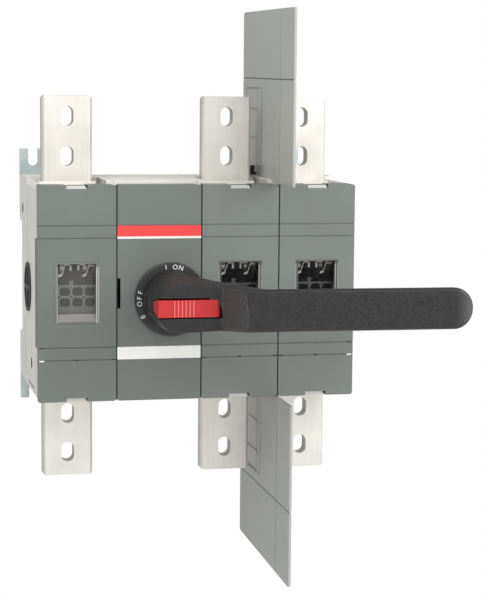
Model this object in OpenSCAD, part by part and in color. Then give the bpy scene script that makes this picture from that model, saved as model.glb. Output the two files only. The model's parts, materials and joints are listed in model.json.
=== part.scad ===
// Three-pole enclosed switch disconnector with a pistol handle, for mounting on a panel.
// The panel is the plane y = 0. The front looks along -Y, +X is to the right and +Z is up.
// Lengths called height are heights over the panel, so a point at height h lies at y = -h.

/* [Modules] */
// Width of one pole module
pole_w = 79; // [72:0.5:90]
// Width of the drive module that carries the handle
drive_w = 85; // [82:0.5:100]
// Height of the front covers
body_h = 214; // [200:1:240]
// Height of the covers' front over the panel
body_d = 165; // [162:1:185]
// Gap between two neighbouring covers
cover_gap = 1.2; // [0.6:0.1:2]
// Gap between two neighbouring casings
case_gap = 0.3; // [0.2:0.1:0.6]

/* [Casings] */
// Height of the casings' backs over the panel
case_back = 24; // [20:0.5:28]
// Wall of the casings
case_wall = 3.5; // [3:0.25:4.5]
// How far the casings' ends lie inside the covers' ends
case_inset = 4.5; // [4:0.25:6]
// Rise of the ridge on the upper end
ridge_rise = 8; // [6:0.5:10]
// Depth of the ridge beside the terminals
ridge_d = 48; // [40:1:54]
// Width of the webs between neighbouring terminal pockets
web_w = 7; // [5:0.5:8]
// Rise of the low wall on the deck's outer sides
outer_rise = 4.5; // [4:0.5:7]
// Radius of the pockets' inner corners
pocket_r = 12; // [8:1:14]
// Lip round each terminal opening
lip_t = 3; // [2:0.5:4]
// Rise of that lip over the casing's end
lip_rise = 5; // [3:0.5:7]

/* [Covers] */
// Wall of the covers
cover_t = 3; // [2.5:0.25:4]
// Depth of the covers' side walls in the middle band
wrap_d = 20; // [15:1:22]
// Depth of the covers' upper and lower walls
return_d = 25; // [18:1:27]
// Half height of the middle band
band_h = 54; // [50:1:60]
// Centre of the band and the windows above the covers' centre
band_z = 1; // [-3:0.5:3]
// Corner radius of the covers
cover_r = 2.5; // [1.5:0.5:4]
// Width of the score lines
score_w = 1.2; // [0.8:0.1:1.6]
// Depth of the score lines
score_d = 0.8; // [0.5:0.1:1.2]
// Distance between the two score lines of a pair
score_pitch = 12.4; // [10:0.2:15]
// Width of the latch notches at the covers' ends
notch_w = 21; // [16:1:26]
// Depth of those notches
notch_h = 4; // [3.5:0.25:5]
// Lower edge of the red name strip
strip_z = 54; // [50:0.5:60]
// Height of the red name strip
strip_h = 13.4; // [10:0.2:16]
// Upper edge of the white marking label
label_z = -53; // [-58:0.5:-48]
// Height of the white marking label
label_h = 12.8; // [8:0.2:14]
// Thickness of strip and label
strip_t = 1; // [0.8:0.1:1.2]
// Width of the slot in the drive cover's left edge
side_slot_w = 3; // [2:0.5:6]
// Height of that slot
side_slot_h = 30; // [20:1:40]

/* [Windows] */
// Width of a window
window_w = 43.6; // [36:0.2:46]
// Height of a window
window_h = 60; // [50:1:66]
// Width of the raised rim at the sides and the top
window_rim = 2.6; // [2:0.1:3.5]
// Height of the sloping lower lip
window_lip = 8.8; // [6:0.2:11]
// Thickness of the pane
pane_t = 2; // [1.5:0.1:2.5]
// Depth of the pane below the covers' front
pane_drop = 5; // [4.5:0.1:6]

/* [Terminals] */
// Width of the terminal bars
bar_w = 51; // [40:1:54]
// Thickness of the terminal bars
bar_t = 16; // [10:0.5:16]
// Length over both terminals of a pole
bar_span = 387; // [370:1:420]
// Height of the bars' front over the contact shaft's axis
bar_rise = 13; // [9:0.5:14]
// Sideways offset of the bars in their module
bar_shift = -1.5; // [-2:0.5:2]
// Further offset of the lower bar on the right
last_shift = 2; // [0:0.5:3]
// Chamfer of the bars
bar_chamfer = 2.25; // [1:0.25:2.5]
// Distance from the bar's end to the outer slot's centre
slot_edge = 20.5; // [17:0.5:22]
// Distance between the two slots of a bar
slot_pitch = 40; // [36:0.5:44]
// How much nearer to the body the lower slots lie
slot_low = 3.5; // [0:0.5:5]
// Width of the slots
slot_w = 13; // [9:0.5:14]
// Length of the slots
slot_l = 20; // [16:0.5:22]

/* [Contacts] */
// Height of the contact shaft over the panel
axis_h = 88; // [86:0.5:90]
// Side of the square contact shaft
square_a = 14; // [12:0.5:15]
// Radius of the rotor journals
journal_r = 14; // [13:0.25:16]
// Radius of the rotor drum
rotor_r = 20; // [18:0.5:22]
// Radius of the blade tips
tip_r = 58; // [56:0.5:59]
// Width of the blades
blade_w = 26; // [22:0.5:27]
// Thickness of a blade
blade_t = 3.5; // [2.5:0.25:4]
// Thickness of the fixed fingers
finger_t = 5; // [4:0.25:6]
// Sideways distance of the fingers from the pole's centre
finger_x = 16; // [14:0.5:17]
// How far a closed blade reaches over its finger
overlap = 14; // [10:0.5:16]
// Gap between a finger and each blade
blade_gap = 0.3; // [0.2:0.05:0.5]
// Number of arc plates at a break
arc_plates = 5; // [3:1:6]
// Thickness of an arc plate
arc_t = 1.5; // [1:0.25:2]
// Depth of an arc plate along the radius
arc_d = 9; // [6:0.5:10]
// Hole width in the arc screen
screen_hole_w = 10.4; // [8:0.2:11]
// Hole height in the arc screen
screen_hole_h = 8.6; // [7:0.2:9]
// Thickness of the arc screen
screen_t = 2; // [1.5:0.25:3]

/* [Drive] */
// Handle axis to the right of the drive module's centre
handle_dx = 12; // [10:0.5:13]
// Handle axis above the covers' centre
handle_z = -6.3; // [-10:0.1:0]
// Module of the drive teeth
tooth_m = 2; // [1.8:0.1:2.1]
// Teeth of a full drive pinion
drive_teeth = 15; // [14:1:16]
// Teeth of a full contact pinion
contact_teeth = 25; // [24:1:26]
// Free play between two mating teeth
backlash = 0.3; // [0.2:0.05:0.4]
// Swing of the handle from off to on
swing = 90; // [60:5:90]
// Face width of the pinions
tooth_face = 12; // [10:0.5:13]
// Radius of the round operating shaft
shaft_r = 10; // [9.5:0.1:11]
// Radius of the rack's guide rod
rod_r = 4; // [3:0.25:4.5]
// Sheet thickness of the mechanism frame
frame_t = 3; // [2.5:0.25:3]
// Half height of the mechanism frame
frame_h = 70; // [69:0.5:71]
// Wire radius of the rack springs
wire_r = 1.1; // [0.8:0.1:1.4]

/* [Dial and handle] */
// Radius of the dial
dial_r = 36.8; // [34:0.2:40]
// Rise of the dial over the cover
dial_t = 5; // [3:0.5:6]
// Radius of the dial's sleeve
sleeve_r = 15; // [13:0.5:17]
// Radius of the handle's hub
hub_r = 28.5; // [27:0.5:30]
// Radius of the hub's round front face
face_r = 27; // [25:0.1:28]
// Width of that face
face_w = 45.8; // [42:0.2:48]
// Height of the hub's front over the cover
hub_d = 81; // [76:1:90]
// Height of the grip's front over the cover
grip_d = 109; // [104:1:116]
// Thickness of the grip
grip_t = 34; // [28:1:36]
// Width of the grip
grip_w = 40.8; // [36:0.4:44]
// Bevel along the grip's front edges
grip_bevel = 1.4; // [0.8:0.2:5]
// Rounding of the grip's back edges
grip_round = 6; // [3:0.5:8]
// Narrowing of the grip from front to back on each side
grip_draft = 2.4; // [0:0.2:4]
// Where the slanted collar ends, from the axis
collar_end = 53; // [50:0.5:60]
// Sag of the grip from the free play of its hub, in degrees
grip_sag = 0.3; // [0:0.05:0.5]
// Length of the handle from its axis to the tip
handle_l = 279; // [220:1:290]
// Length over which the grip's front rolls back to the tip
roll_l = 17; // [10:1:20]
// How far it rolls back
roll_d = 6; // [4:1:12]
// Length of the red padlock lever
lever_l = 60.5; // [58:0.5:61.5]
// Width of that lever
lever_w = 16.6; // [14:0.2:20]
// Thickness of its front plate
lever_t = 7; // [6:0.5:8]
// Radius of the round end of the tongue on its left
nose_r = 4.5; // [3:0.25:6]
// Radius of the padlock holes
lock_r = 4; // [3:0.25:4.25]
// Radius of the lever's pin
lever_pin_r = 2; // [1.5:0.25:2.5]

/* [Fixings] */
// Sheet thickness of the feet
foot_t = 2.5; // [2:0.25:3]
// Width of a foot
foot_w = 28; // [26:0.5:32]
// How far a foot stands out over its web
foot_reach = 24; // [20:1:28]
// Width of the open slot in a foot
foot_slot = 10; // [8:0.5:11]
// Depth of that slot
foot_slot_d = 18; // [14:1:20]
// Length of a foot's plate on the casing's back
foot_plate = 45; // [36:1:50]
// Thickness of the casings' ears beside the feet
ear_t = 3; // [2:0.25:3.5]
// Length of those ears
ear_l = 48; // [30:1:52]
// Radius of the foot screws
screw_r = 2.5; // [2:0.25:3]
// Radius of the tie rods
tie_r = 3; // [2.5:0.25:3.5]
// Radius of the round side plugs
plug_r = 25; // [22:0.5:28]
// Thickness of the side plugs
plug_t = 2; // [1.5:0.25:3]

/* [Barriers] */
// Thickness of the phase barriers
barrier_t = 2.5; // [2:0.25:3]
// Middle of the barriers to the left of the seam between the modules
barrier_off = 0.25; // [0:0.25:1]
// How far the barriers stand out in front of the covers
barrier_front = 60; // [40:1:64]
// Reach of the upper barrier's end from the middle
upper_end = 282.5; // [270:0.5:300]
// Reach of the lower barrier's end from the middle
lower_end = 284; // [270:0.5:300]
// How much the upper barrier's front corner hangs below its back corner
upper_drop = 2.2; // [0:0.1:4]
// How much the lower barrier's front corner hangs below its back corner
lower_drop = 5.4; // [0:0.1:6]
// Distance of the fold line from the middle
fold_z = 213; // [200:1:230]
// Width of the barrier's lengthwise score line
barrier_score = 1.6; // [0.8:0.2:2.4]
// Depth of that line on each face
barrier_cut = 0.6; // [0.3:0.1:0.8]
// Length of the barrier's base tab
tab_l = 20; // [16:1:24]
// Radius of the clip knobs
knob_r = 4.6; // [3:0.2:5.4]

/* [Fits] */
// Radial gap of a shaft in its bearing
run_fit = 0.05; // [0.02:0.01:0.09]
// Gap between fixed pieces that slide together
fit = 0.15; // [0.1:0.05:0.3]
// Gap between pieces that move past each other
clear = 0.4; // [0.3:0.05:0.8]

/* [Hidden] */
$fn = 48;

// Where the modules stand, from left to right: pole 1, drive, pole 2, pole 3
total_w = 3 * pole_w + drive_w;
left_x = -total_w / 2;
pole_x = [left_x + pole_w / 2, left_x + drive_w + 1.5 * pole_w, left_x + drive_w + 2.5 * pole_w];
drive_x = left_x + pole_w + drive_w / 2;

// Levels of the casings
end_z = body_h / 2 - case_inset;
ridge_z = end_z + ridge_rise;
case_front = body_d - cover_t;
deck_front = body_d - return_d - clear;
inner_back = case_back + case_wall;
inner_z = end_z - case_wall;

// Levels of the terminals and contacts
bar_front = axis_h + bar_rise;
bar_back = bar_front - bar_t;
bar_root = tip_r + 2;
finger_z = tip_r - overlap;
finger_d = blade_w - 2;
open_angle = swing * drive_teeth / contact_teeth;

// Drive train
handle_x = drive_x + handle_dx;
drive_r = tooth_m * drive_teeth / 2;
contact_r = tooth_m * contact_teeth / 2;
tooth_pitch = PI * tooth_m;
tooth_add = 0.8 * tooth_m;
tooth_ded = 1.05 * tooth_m;
pressure = 20;
travel = drive_r * swing * PI / 180;
rack_n = ceil(travel / tooth_pitch) + 2;
rack_w = 17.5;
rack_face_x = handle_x - drive_r - tooth_ded;
rack_face_h = axis_h + contact_r + tooth_ded;
rack_x = [rack_face_x - rack_w, rack_face_x];
rack_h = [rack_face_h, rack_face_h + rack_w];
rack_z = [handle_z - rack_n * tooth_pitch, 2 * tooth_pitch + 2];
rod_x = rack_face_x - rack_w / 2;
rod_h = rack_face_h + rack_w / 2;
pinion_h = [rack_h[0] + 3, rack_h[0] + 3 + tooth_face];
gear_x = [rack_x[0] + 1, rack_x[0] + 1 + tooth_face + 2];
frame_front = rack_h[1] + 3.5;
frame_x = [rack_x[0] - 8, handle_x + drive_r + tooth_add + 6];
plate_z = frame_h - frame_t;

// Dial, hub and grip
dial_h = body_d + dial_t;
hub_back = dial_h + clear;
hub_front = body_d + hub_d;
hub_step = hub_back + 29;
grip_front = body_d + grip_d;
grip_back = grip_front - grip_t;
pocket_floor = hub_front - 33;
shaft_end = pocket_floor - 4;
lever_nose = 5.5;
nose_h = pocket_floor + 3 + nose_r;
knuckle_r = 4.6;
lever_left = handle_x - face_r;
pivot_x = lever_left + lever_l - knuckle_r;
pivot_h = hub_front + 0.5 - knuckle_r;
collar_x = lever_left + lever_l + clear;
slice_t = 1;
neck_x = [7.5, collar_x - handle_x, collar_end, collar_end + 20];
spring_tube_r = lever_pin_r + 1.1;

// Fixings
tie_head_r = 5.5;
tie_z = frame_h + tie_head_r + 1;
tie_spots = [[inner_back + tie_head_r, tie_z], [bar_front + tie_head_r + 6.5, 1.5 - tie_z]];
foot_screw_z = end_z - 12;
foot_screw_x = foot_w / 2 - ear_t - screw_r - 2.7;
seam_x = left_x + drive_w + 2 * pole_w;
tab_h = [case_back + 31, case_back + 31 + tab_l];
tab_w = 12;
tab_t = 2;
tab_hole_r = 2.5;
knob_pin = 6;
barrier_x = seam_x - barrier_off;
knob_x = barrier_x - barrier_t / 2 - tab_w / 2;
knob_h = (tab_h[0] + tab_h[1]) / 2;

// A block given by its range in x, in height over the panel and in z
module slab(x, h, z)
    translate([x[0], -h[1], z[0]])
        cube([x[1] - x[0], h[1] - h[0], z[1] - z[0]]);

// A round bar along the height, from one height over the panel to another
module post(x, z, h, r)
    translate([x, -h[1], z])
        rotate([-90, 0, 0])
            cylinder(r = r, h = h[1] - h[0]);

// A round bar along x at a given height and z
module axle(x, h, z, r)
    translate([x[0], -h, z])
        rotate([0, 90, 0])
            cylinder(r = r, h = x[1] - x[0]);

// A drawing with x to the right and z up, extruded from one height to another
module front_sheet(h)
    translate([0, -h[0], 0])
        rotate([90, 0, 0])
            linear_extrude(h[1] - h[0])
                children();

// A drawing with the height to the right and z up, extruded over a range in x
module side_sheet(x)
    translate([x[1], 0, 0])
        rotate([90, 0, -90])
            linear_extrude(x[1] - x[0])
                children();

// A rectangle with round corners, centred
module round_rect(w, h, r) {
    square([w - 2 * r, h], center = true);
    square([w, h - 2 * r], center = true);
    for (x = [-1, 1], z = [-1, 1])
        translate([x * (w / 2 - r), z * (h / 2 - r)])
            circle(r);
}

// A slot with round ends, upright and centred
module slot_shape(w, l) {
    square([w, l - w], center = true);
    for (z = [-1, 1])
        translate([0, z * (l - w) / 2])
            circle(w / 2);
}

// Outline of a casing seen from the side, without the ridge
module case_block(x)
    slab(x, [case_back, case_front], [-end_z, end_z]);

// The raised deck on the upper end: full depth on the drive module, and cut back to a
// ridge behind the terminals on a pole. The webs stand only where two modules meet.
module pole_deck(x, cx, web_left, web_right) {
    difference() {
        slab(x, [case_back, deck_front], [end_z - 1, ridge_z]);
        pocket(x[0] + (web_left ? web_w : -2 * pocket_r), x[1] - (web_right ? web_w : -2 * pocket_r));
    }
}

// The terminal pocket, open to the front, with round inner corners
module pocket(x0, x1) {
    back = case_back + ridge_d;
    translate([0, 0, end_z])
        linear_extrude(ridge_rise + 1) {
            translate([x0, -body_d])
                square([x1 - x0, body_d - back - pocket_r]);
            translate([x0 + pocket_r, -back - pocket_r - 1])
                square([x1 - x0 - 2 * pocket_r, pocket_r + 1]);
            for (x = [x0 + pocket_r, x1 - pocket_r])
                translate([x, -back - pocket_r])
                    circle(pocket_r);
        }
}

// Middle of the bar on a pole's upper or lower end
function bar_x(k, s) = pole_x[k] + bar_shift + (k == 2 && s < 0 ? last_shift : 0);

// The lip that stands round a terminal where it leaves the casing
module terminal_lip(k, s)
    slab([bar_x(k, s) - bar_w / 2 - fit - lip_t, bar_x(k, s) + bar_w / 2 + fit + lip_t],
        [bar_back - fit - lip_t, bar_front + fit + lip_t],
        s > 0 ? [end_z - 1, end_z + lip_rise] : [-end_z - lip_rise, 1 - end_z]);

// Holes that every casing has for the contact shaft and the tie rods
module shared_holes(x, shaft_hole) {
    axle([x[0] - 1, x[1] + 1], axis_h, 0, shaft_hole);
    for (s = tie_spots)
        axle([x[0] - 1, x[1] + 1], s[0], s[1], tie_r + fit);
}

// The front edge of the side walls steps back behind the cover's middle band
module band_step(x)
    slab([x[0] - 1, x[1] + 1], [body_d - wrap_d - fit, body_d],
        [band_z - band_h - fit, band_z + band_h + fit]);

// Cavity of a casing, open to the front
module case_hollow(x)
    slab([x[0] + case_wall, x[1] - case_wall], [inner_back, body_d], [-inner_z, inner_z]);

// Blind bosses for the screws that hold the feet
module foot_boss(cx)
    for (dx = [-1, 1], s = [-1, 1])
        post(cx + dx * foot_screw_x, s * foot_screw_z, [inner_back - 1, inner_back + 10], screw_r + 3);

// Holes for those screws
module foot_holes(cx)
    for (dx = [-1, 1], s = [-1, 1])
        post(cx + dx * foot_screw_x, s * foot_screw_z, [case_back - 1, inner_back + 8], screw_r);

// Ear that carries the outer side on past the foot towards the panel
module ear(k, s) {
    x = left_x + case_gap / 2;
    top = (s > 0 ? ridge_z : end_z) - fit;
    low = top - ear_l;
    mirror([k == 0 ? 0 : 1, 0, 0])
        mirror([0, 0, s > 0 ? 0 : 1])
            side_sheet([x, x + ear_t])
                polygon([[clear, top], [clear, low + 5], [clear + 5, low], [case_back + 1, low],
                    [case_back + 1, top]]);
}

// Low wall along the deck's outer side, with its outer edge bevelled
module outer_wall(k) {
    x = left_x + case_gap / 2;
    top = end_z + outer_rise;
    mirror([k == 0 ? 0 : 1, 0, 0])
        front_sheet([case_back, deck_front])
            polygon([[x, end_z - 1], [x, top - 3.5], [x + 3.5, top], [x + web_w, top], [x + web_w, end_z - 1]]);
}

// Rings that deepen the end walls for the tie rods' nuts
module tie_boss(x)
    for (s = tie_spots)
        axle(x, s[0], s[1], tie_head_r + 2.5);

module tie_seats(x)
    for (s = tie_spots)
        axle(x, s[0], s[1], tie_head_r + clear);

// One pole's casing before it is split: k counts the poles from the left
module pole_casing(k) {
    cx = pole_x[k];
    x = [cx - pole_w / 2 + case_gap / 2, cx + pole_w / 2 - case_gap / 2];
    foot_x = k == 0 ? x[0] + foot_w / 2 : x[1] - foot_w / 2;
    end_x = k == 0 ? [x[0], x[0] + 9] : [x[1] - 9, x[1]];
    seat_x = k == 0 ? [x[0] - 1, x[0] + 5] : [x[1] - 5, x[1] + 1];
    difference() {
        union() {
            difference() {
                union() {
                    case_block(x);
                    pole_deck(x, cx, k > 0, k < 2);
                }
                case_hollow(x);
            }
            for (s = [-1, 1])
                terminal_lip(k, s);
            if (k != 1) {
                foot_boss(foot_x);
                tie_boss(end_x);
                outer_wall(k);
                for (s = [-1, 1])
                    ear(k, s);
            }
        }
        for (s = [-1, 1])
            slab([bar_x(k, s) - bar_w / 2 - fit, bar_x(k, s) + bar_w / 2 + fit],
                [bar_back - fit, bar_front + fit], s > 0 ? [0, body_h] : [-body_h, 0]);
        shared_holes(x, journal_r + run_fit);
        band_step(x);
        if (k != 1) {
            foot_holes(foot_x);
            tie_seats(seat_x);
        }
        else
            for (s = [-1, 1])
                translate([knob_x, -knob_h, s > 0 ? ridge_z - knob_pin - 1 : -end_z - 1])
                    cylinder(r = tab_hole_r, h = knob_pin + 2);
    }
}

// Left or right half of a casing, parted at the module's centre
module half(cx, s)
    intersection() {
        children();
        slab(s < 0 ? [cx - pole_w, cx] : [cx, cx + pole_w], [0, body_d + 1], [-body_h, body_h]);
    }

module pole_case(k, s)
    color([0.86, 0.85, 0.81])
        half(pole_x[k], s)
            pole_casing(k);

// The drive module's casing: a full deck, and bosses for the mechanism
module drive_casing() {
    x = [drive_x - drive_w / 2 + case_gap / 2, drive_x + drive_w / 2 - case_gap / 2];
    difference() {
        union() {
            case_block(x);
            slab(x, [case_back, deck_front], [end_z - 1, ridge_z]);
        }
        case_hollow(x);
        shared_holes(x, journal_r + run_fit);
        band_step(x);
    }
}

module drive_case(s)
    color([0.86, 0.85, 0.81])
        half(drive_x, s)
            drive_casing();

// A cover without its openings: front plate, walls of the middle band and end walls
module cover_shell(cx, w) {
    cw = w - cover_gap;
    front_sheet([body_d - cover_t, body_d])
        translate([cx, 0])
            round_rect(cw, body_h, cover_r);
    for (s = [-1, 1]) {
        slab([cx + s * (cw / 2 - cover_t / 2) - cover_t / 2, cx + s * (cw / 2 - cover_t / 2) + cover_t / 2],
            [body_d - wrap_d, body_d - cover_t / 2], [band_z - band_h, band_z + band_h]);
        slab([cx - cw / 2 + cover_r, cx + cw / 2 - cover_r], [body_d - return_d, body_d - cover_t / 2],
            s > 0 ? [body_h / 2 - cover_t, body_h / 2] : [-body_h / 2, cover_t - body_h / 2]);
    }
}

// Score lines above and below the middle band
module score_lines(cx, w)
    for (s = [-1, 1], i = [0, 1])
        translate([0, 0, band_z + s * (band_h + i * score_pitch)])
            slab([cx - w, cx + w], [body_d - score_d, body_d + 1], [-score_w / 2, score_w / 2]);

// Notches at the middle of the upper and lower edges, where the latches show
module latch_notches(cx)
    for (s = [-1, 1])
        slab([cx - notch_w / 2, cx + notch_w / 2], [body_d - return_d - 1, body_d + 1],
            s > 0 ? [body_h / 2 - notch_h, body_h] : [-body_h, notch_h - body_h / 2]);

module pole_cover(k) {
    cx = pole_x[k];
    color([0.50, 0.53, 0.51])
        difference() {
            cover_shell(cx, pole_w);
            score_lines(cx, pole_w);
            latch_notches(cx);
            front_sheet([body_d - cover_t - 1, body_d + 1])
                translate([cx, band_z])
                    round_rect(window_w + 2 * fit, window_h + 2 * fit, 1.5);
        }
}

// Clear window: a tray whose pane lies below the cover's front, with a sloping lower lip
module pole_window(k) {
    cx = pole_x[k];
    flange = 2.2;
    flange_h = body_d - cover_t - fit;
    pane_h = body_d - pane_drop;
    top = band_z + window_h / 2;
    bottom = band_z - window_h / 2;
    color([0.75, 0.80, 0.80, 0.4])
        difference() {
            union() {
                front_sheet([pane_h - pane_t, body_d - 0.3])
                    translate([cx, band_z])
                        round_rect(window_w, window_h, 1.3);
                front_sheet([pane_h - pane_t, flange_h])
                    translate([cx, band_z])
                        round_rect(window_w + 2 * flange, window_h + 2 * flange, 2);
            }
            side_sheet([cx - window_w / 2 + window_rim, cx + window_w / 2 - window_rim])
                polygon([[pane_h, top - window_rim / 2], [body_d + 1, top - window_rim / 2],
                    [body_d + 1, bottom + 0.2], [pane_h, bottom + window_lip]]);
        }
}

// A terminal bar with its two slots and, inside the casing, the fixed fingers
module contact(k, s) {
    cx = pole_x[k];
    bx = bar_x(k, s);
    tip = bar_span / 2;
    color([0.88, 0.87, 0.85])
        mirror([0, 0, s > 0 ? 0 : 1])
            difference() {
                union() {
                    intersection() {
                        front_sheet([bar_back, bar_front])
                            translate([bx, (bar_root + tip) / 2])
                                bevel_rect(bar_w, tip - bar_root, bar_chamfer);
                        translate([bx, -(bar_front + bar_back) / 2, bar_root])
                            linear_extrude(tip - bar_root)
                                bevel_rect(bar_w, bar_t, bar_chamfer);
                    }
                    for (dx = [-finger_x, finger_x])
                        slab([cx + dx - finger_t / 2, cx + dx + finger_t / 2],
                            [axis_h - finger_d / 2, axis_h + finger_d / 2], [finger_z, bar_root + 6]);
                }
                for (i = [0, 1])
                    front_sheet([bar_back - 1, bar_front + 1])
                        translate([bx, tip - slot_edge - (s > 0 ? 0 : slot_low) - i * slot_pitch])
                            slot_shape(slot_w, slot_l);
            }
}

// A rectangle with chamfered corners, centred
module bevel_rect(w, h, c)
    polygon([[-w / 2 + c, -h / 2], [w / 2 - c, -h / 2], [w / 2, -h / 2 + c], [w / 2, h / 2 - c],
        [w / 2 - c, h / 2], [-w / 2 + c, h / 2], [-w / 2, h / 2 - c], [-w / 2, -h / 2 + c]]);

// Everything on the contact shaft is drawn closed and then swung open
module swung_open()
    translate([0, -axis_h, 0])
        rotate([open_angle, 0, 0])
            children();

// Square hole or bar along x, about the contact axis
module square_bar(x, a)
    translate([x[0], -a / 2, -a / 2])
        cube([x[1] - x[0], a, a]);

// Places of a pole's four blades, measured from the pole's centre to each blade's middle
blade_off = finger_t / 2 + blade_gap + blade_t / 2;
blade_spots = [for (f = [-finger_x, finger_x], s = [-1, 1]) f + s * blade_off];

module blade_plate(x, t, w)
    translate([x - t / 2, 0, 0])
        rotate([90, 0, 90])
            linear_extrude(t)
                slot_shape(w, 2 * tip_r);

// Moulded rotor of one pole, with journals that run in the casing's side walls
module rotor(k) {
    cx = pole_x[k];
    reach = pole_w / 2 - case_gap / 2 - clear;
    drum = reach - case_wall - 0.6;
    color([0.16, 0.16, 0.17])
        swung_open()
            difference() {
                union() {
                    translate([cx - drum, 0, 0])
                        rotate([0, 90, 0])
                            cylinder(r = rotor_r, h = 2 * drum);
                    translate([cx - reach, 0, 0])
                        rotate([0, 90, 0])
                            cylinder(r = journal_r, h = 2 * reach);
                }
                square_bar([cx - pole_w, cx + pole_w], square_a + 2 * run_fit);
                for (b = blade_spots)
                    translate([cx + b - blade_t / 2 - fit, -blade_w / 2 - fit, -body_h / 2])
                        cube([blade_t + 2 * fit, blade_w + 2 * fit, body_h]);
            }
}

// The four copper blades of one pole
module blades(k) {
    cx = pole_x[k];
    color([0.83, 0.74, 0.62])
        swung_open()
            difference() {
                for (b = blade_spots)
                    blade_plate(cx + b, blade_t, blade_w);
                square_bar([cx - pole_w, cx + pole_w], square_a + 2 * run_fit);
            }
}

// Steel plates that split the arc, set in the side walls round both ends of the blades
module arc_stack(k) {
    cx = pole_x[k];
    half_w = pole_w / 2 - case_gap / 2 - case_wall - fit;
    first = 18;
    step = (open_angle - 2 - first) / (arc_plates - 1);
    color([0.60, 0.61, 0.63])
        translate([0, -axis_h, 0])
            for (end = [0, 180], i = [0 : arc_plates - 1])
                rotate([first + i * step + end, 0, 0])
                    translate([cx - half_w, -arc_t / 2, tip_r + 2.5])
                        cube([2 * half_w, arc_t, arc_d]);
}

// Perforated screen between the rotor and the window
module screen(k) {
    cx = pole_x[k];
    half_w = pole_w / 2 - case_gap / 2 - case_wall - fit;
    low = band_z - window_h / 2 + window_lip - 4;
    high = band_z + 6.5;
    front = body_d - pane_drop - pane_t - 8;
    pitch_x = screen_hole_w + 2.1;
    pitch_z = screen_hole_h + 2.1;
    mid = band_z - 5.3;
    mx = cx + 2.5;
    color([0.55, 0.55, 0.55])
        difference() {
            union() {
                slab([cx - half_w, cx + half_w], [front - screen_t, front], [low, high]);
                slab([mx - pitch_x / 2 - 2, mx - pitch_x / 2 + 2], [front - screen_t, front],
                    [high - 1, high + 4.5]);
            }
            front_sheet([front - screen_t - 1, front + 1])
                for (i = [-1 : 1], j = [-0.5, 0.5])
                    translate([mx + i * pitch_x, mid + j * pitch_z])
                        round_rect(screen_hole_w, screen_hole_h, 3);
            for (i = [-1.5, -0.5, 0.5, 1.5])
                post(mx + i * pitch_x, mid, [front - screen_t - 1, front + 1], 1.2);
        }
}

// The drive cover has no window: it has the dial's hole, strip and label beds and a slot
module drive_cover() {
    cw = drive_w - cover_gap;
    color([0.50, 0.53, 0.51])
        difference() {
            cover_shell(drive_x, drive_w);
            post(handle_x, handle_z, [body_d - cover_t - 1, body_d + 1], sleeve_r + fit);
            slab([drive_x - cw, drive_x + cw], [body_d - strip_t, body_d + 1],
                [strip_z, strip_z + strip_h]);
            slab([drive_x - cw, drive_x + cw], [body_d - strip_t, body_d + 1],
                [label_z - label_h, label_z]);
            slab([drive_x - cw, drive_x - cw / 2 + side_slot_w], [body_d - wrap_d + 5, body_d + 1],
                [-side_slot_h / 2, side_slot_h / 2]);
        }
}

module name_strip() {
    cw = drive_w - cover_gap;
    color([0.90, 0.26, 0.27])
        slab([drive_x - cw / 2, drive_x + cw / 2], [body_d - strip_t, body_d + 0.2],
            [strip_z + fit, strip_z + strip_h - fit]);
}

module marking_label() {
    cw = drive_w - cover_gap;
    color([0.93, 0.92, 0.90])
        slab([drive_x - cw / 2, drive_x + cw / 2], [body_d - strip_t, body_d],
            [label_z - label_h + fit, label_z - fit]);
}

// Fixed dial round the handle's hub; its sleeve is the shaft's front bearing
module dial_plate()
    color([0.17, 0.16, 0.16])
        difference() {
            union() {
                post(handle_x, handle_z, [body_d, dial_h - 1], dial_r);
                translate([handle_x, 1 - dial_h, handle_z])
                    rotate([90, 0, 0])
                        cylinder(r1 = dial_r, r2 = dial_r - 1, h = 1);
                post(handle_x, handle_z, [frame_front + frame_t + 2, body_d + 1], sleeve_r);
            }
            post(handle_x, handle_z, [0, dial_h + 1], shaft_r + run_fit);
        }

// Folded steel frame: two cheeks with the contact shaft's bearings, a front plate with the
// operating shaft's rear bearing, end plates, and the rod that guides the rack
module mechanism_frame() {
    cheek_z = journal_r + 14;
    color([0.66, 0.67, 0.68]) {
        difference() {
            union() {
                for (x = [frame_x[0], frame_x[1] - frame_t])
                    slab([x, x + frame_t], [inner_back, frame_front + frame_t], [-cheek_z, cheek_z]);
                slab(frame_x, [frame_front, frame_front + frame_t], [-frame_h, frame_h]);
                for (z = [-frame_h, plate_z])
                    slab(frame_x, [rack_h[0] - 6, frame_front + 1], [z, z + frame_t]);
                translate([rod_x, -rod_h, -frame_h])
                    cylinder(r = rod_r, h = 2 * frame_h);
            }
            axle([frame_x[0] - 1, frame_x[1] + 1], axis_h, 0, journal_r + run_fit);
            post(handle_x, handle_z, [frame_front - 1, frame_front + frame_t + 1], shaft_r + run_fit);
        }
    }
}

// Points of a helix round the z axis, and a wire swept along it
function helix(r, z0, z1, turns, n) =
    [for (i = [0 : n]) let (a = 360 * turns * i / n)
        [r * cos(a), r * sin(a), z0 + (z1 - z0) * i / n]];

module coil(r, z0, z1, turns) {
    sides = 6;
    per_turn = 12;
    n = round(turns * per_turn);
    path = helix(r, z0 + wire_r, z1 - wire_r, turns, n);
    ring = [for (i = [0 : n], j = [0 : sides - 1])
        let (a = 360 * turns * i / n, b = 360 * j / sides)
            path[i] + wire_r * [cos(b) * cos(a), cos(b) * sin(a), sin(b)]];
    walls = [for (i = [0 : n - 1], j = [0 : sides - 1])
        [i * sides + j, (i + 1) * sides + j, (i + 1) * sides + (j + 1) % sides, i * sides + (j + 1) % sides]];
    polyhedron(points = ring, faces = concat([[for (j = [0 : sides - 1]) j]], walls,
        [[for (j = [sides - 1 : -1 : 0]) n * sides + j]]));
}

// Compression springs on the guide rod, above and below the rack
spring_r = rod_r + wire_r + 1;

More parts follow.
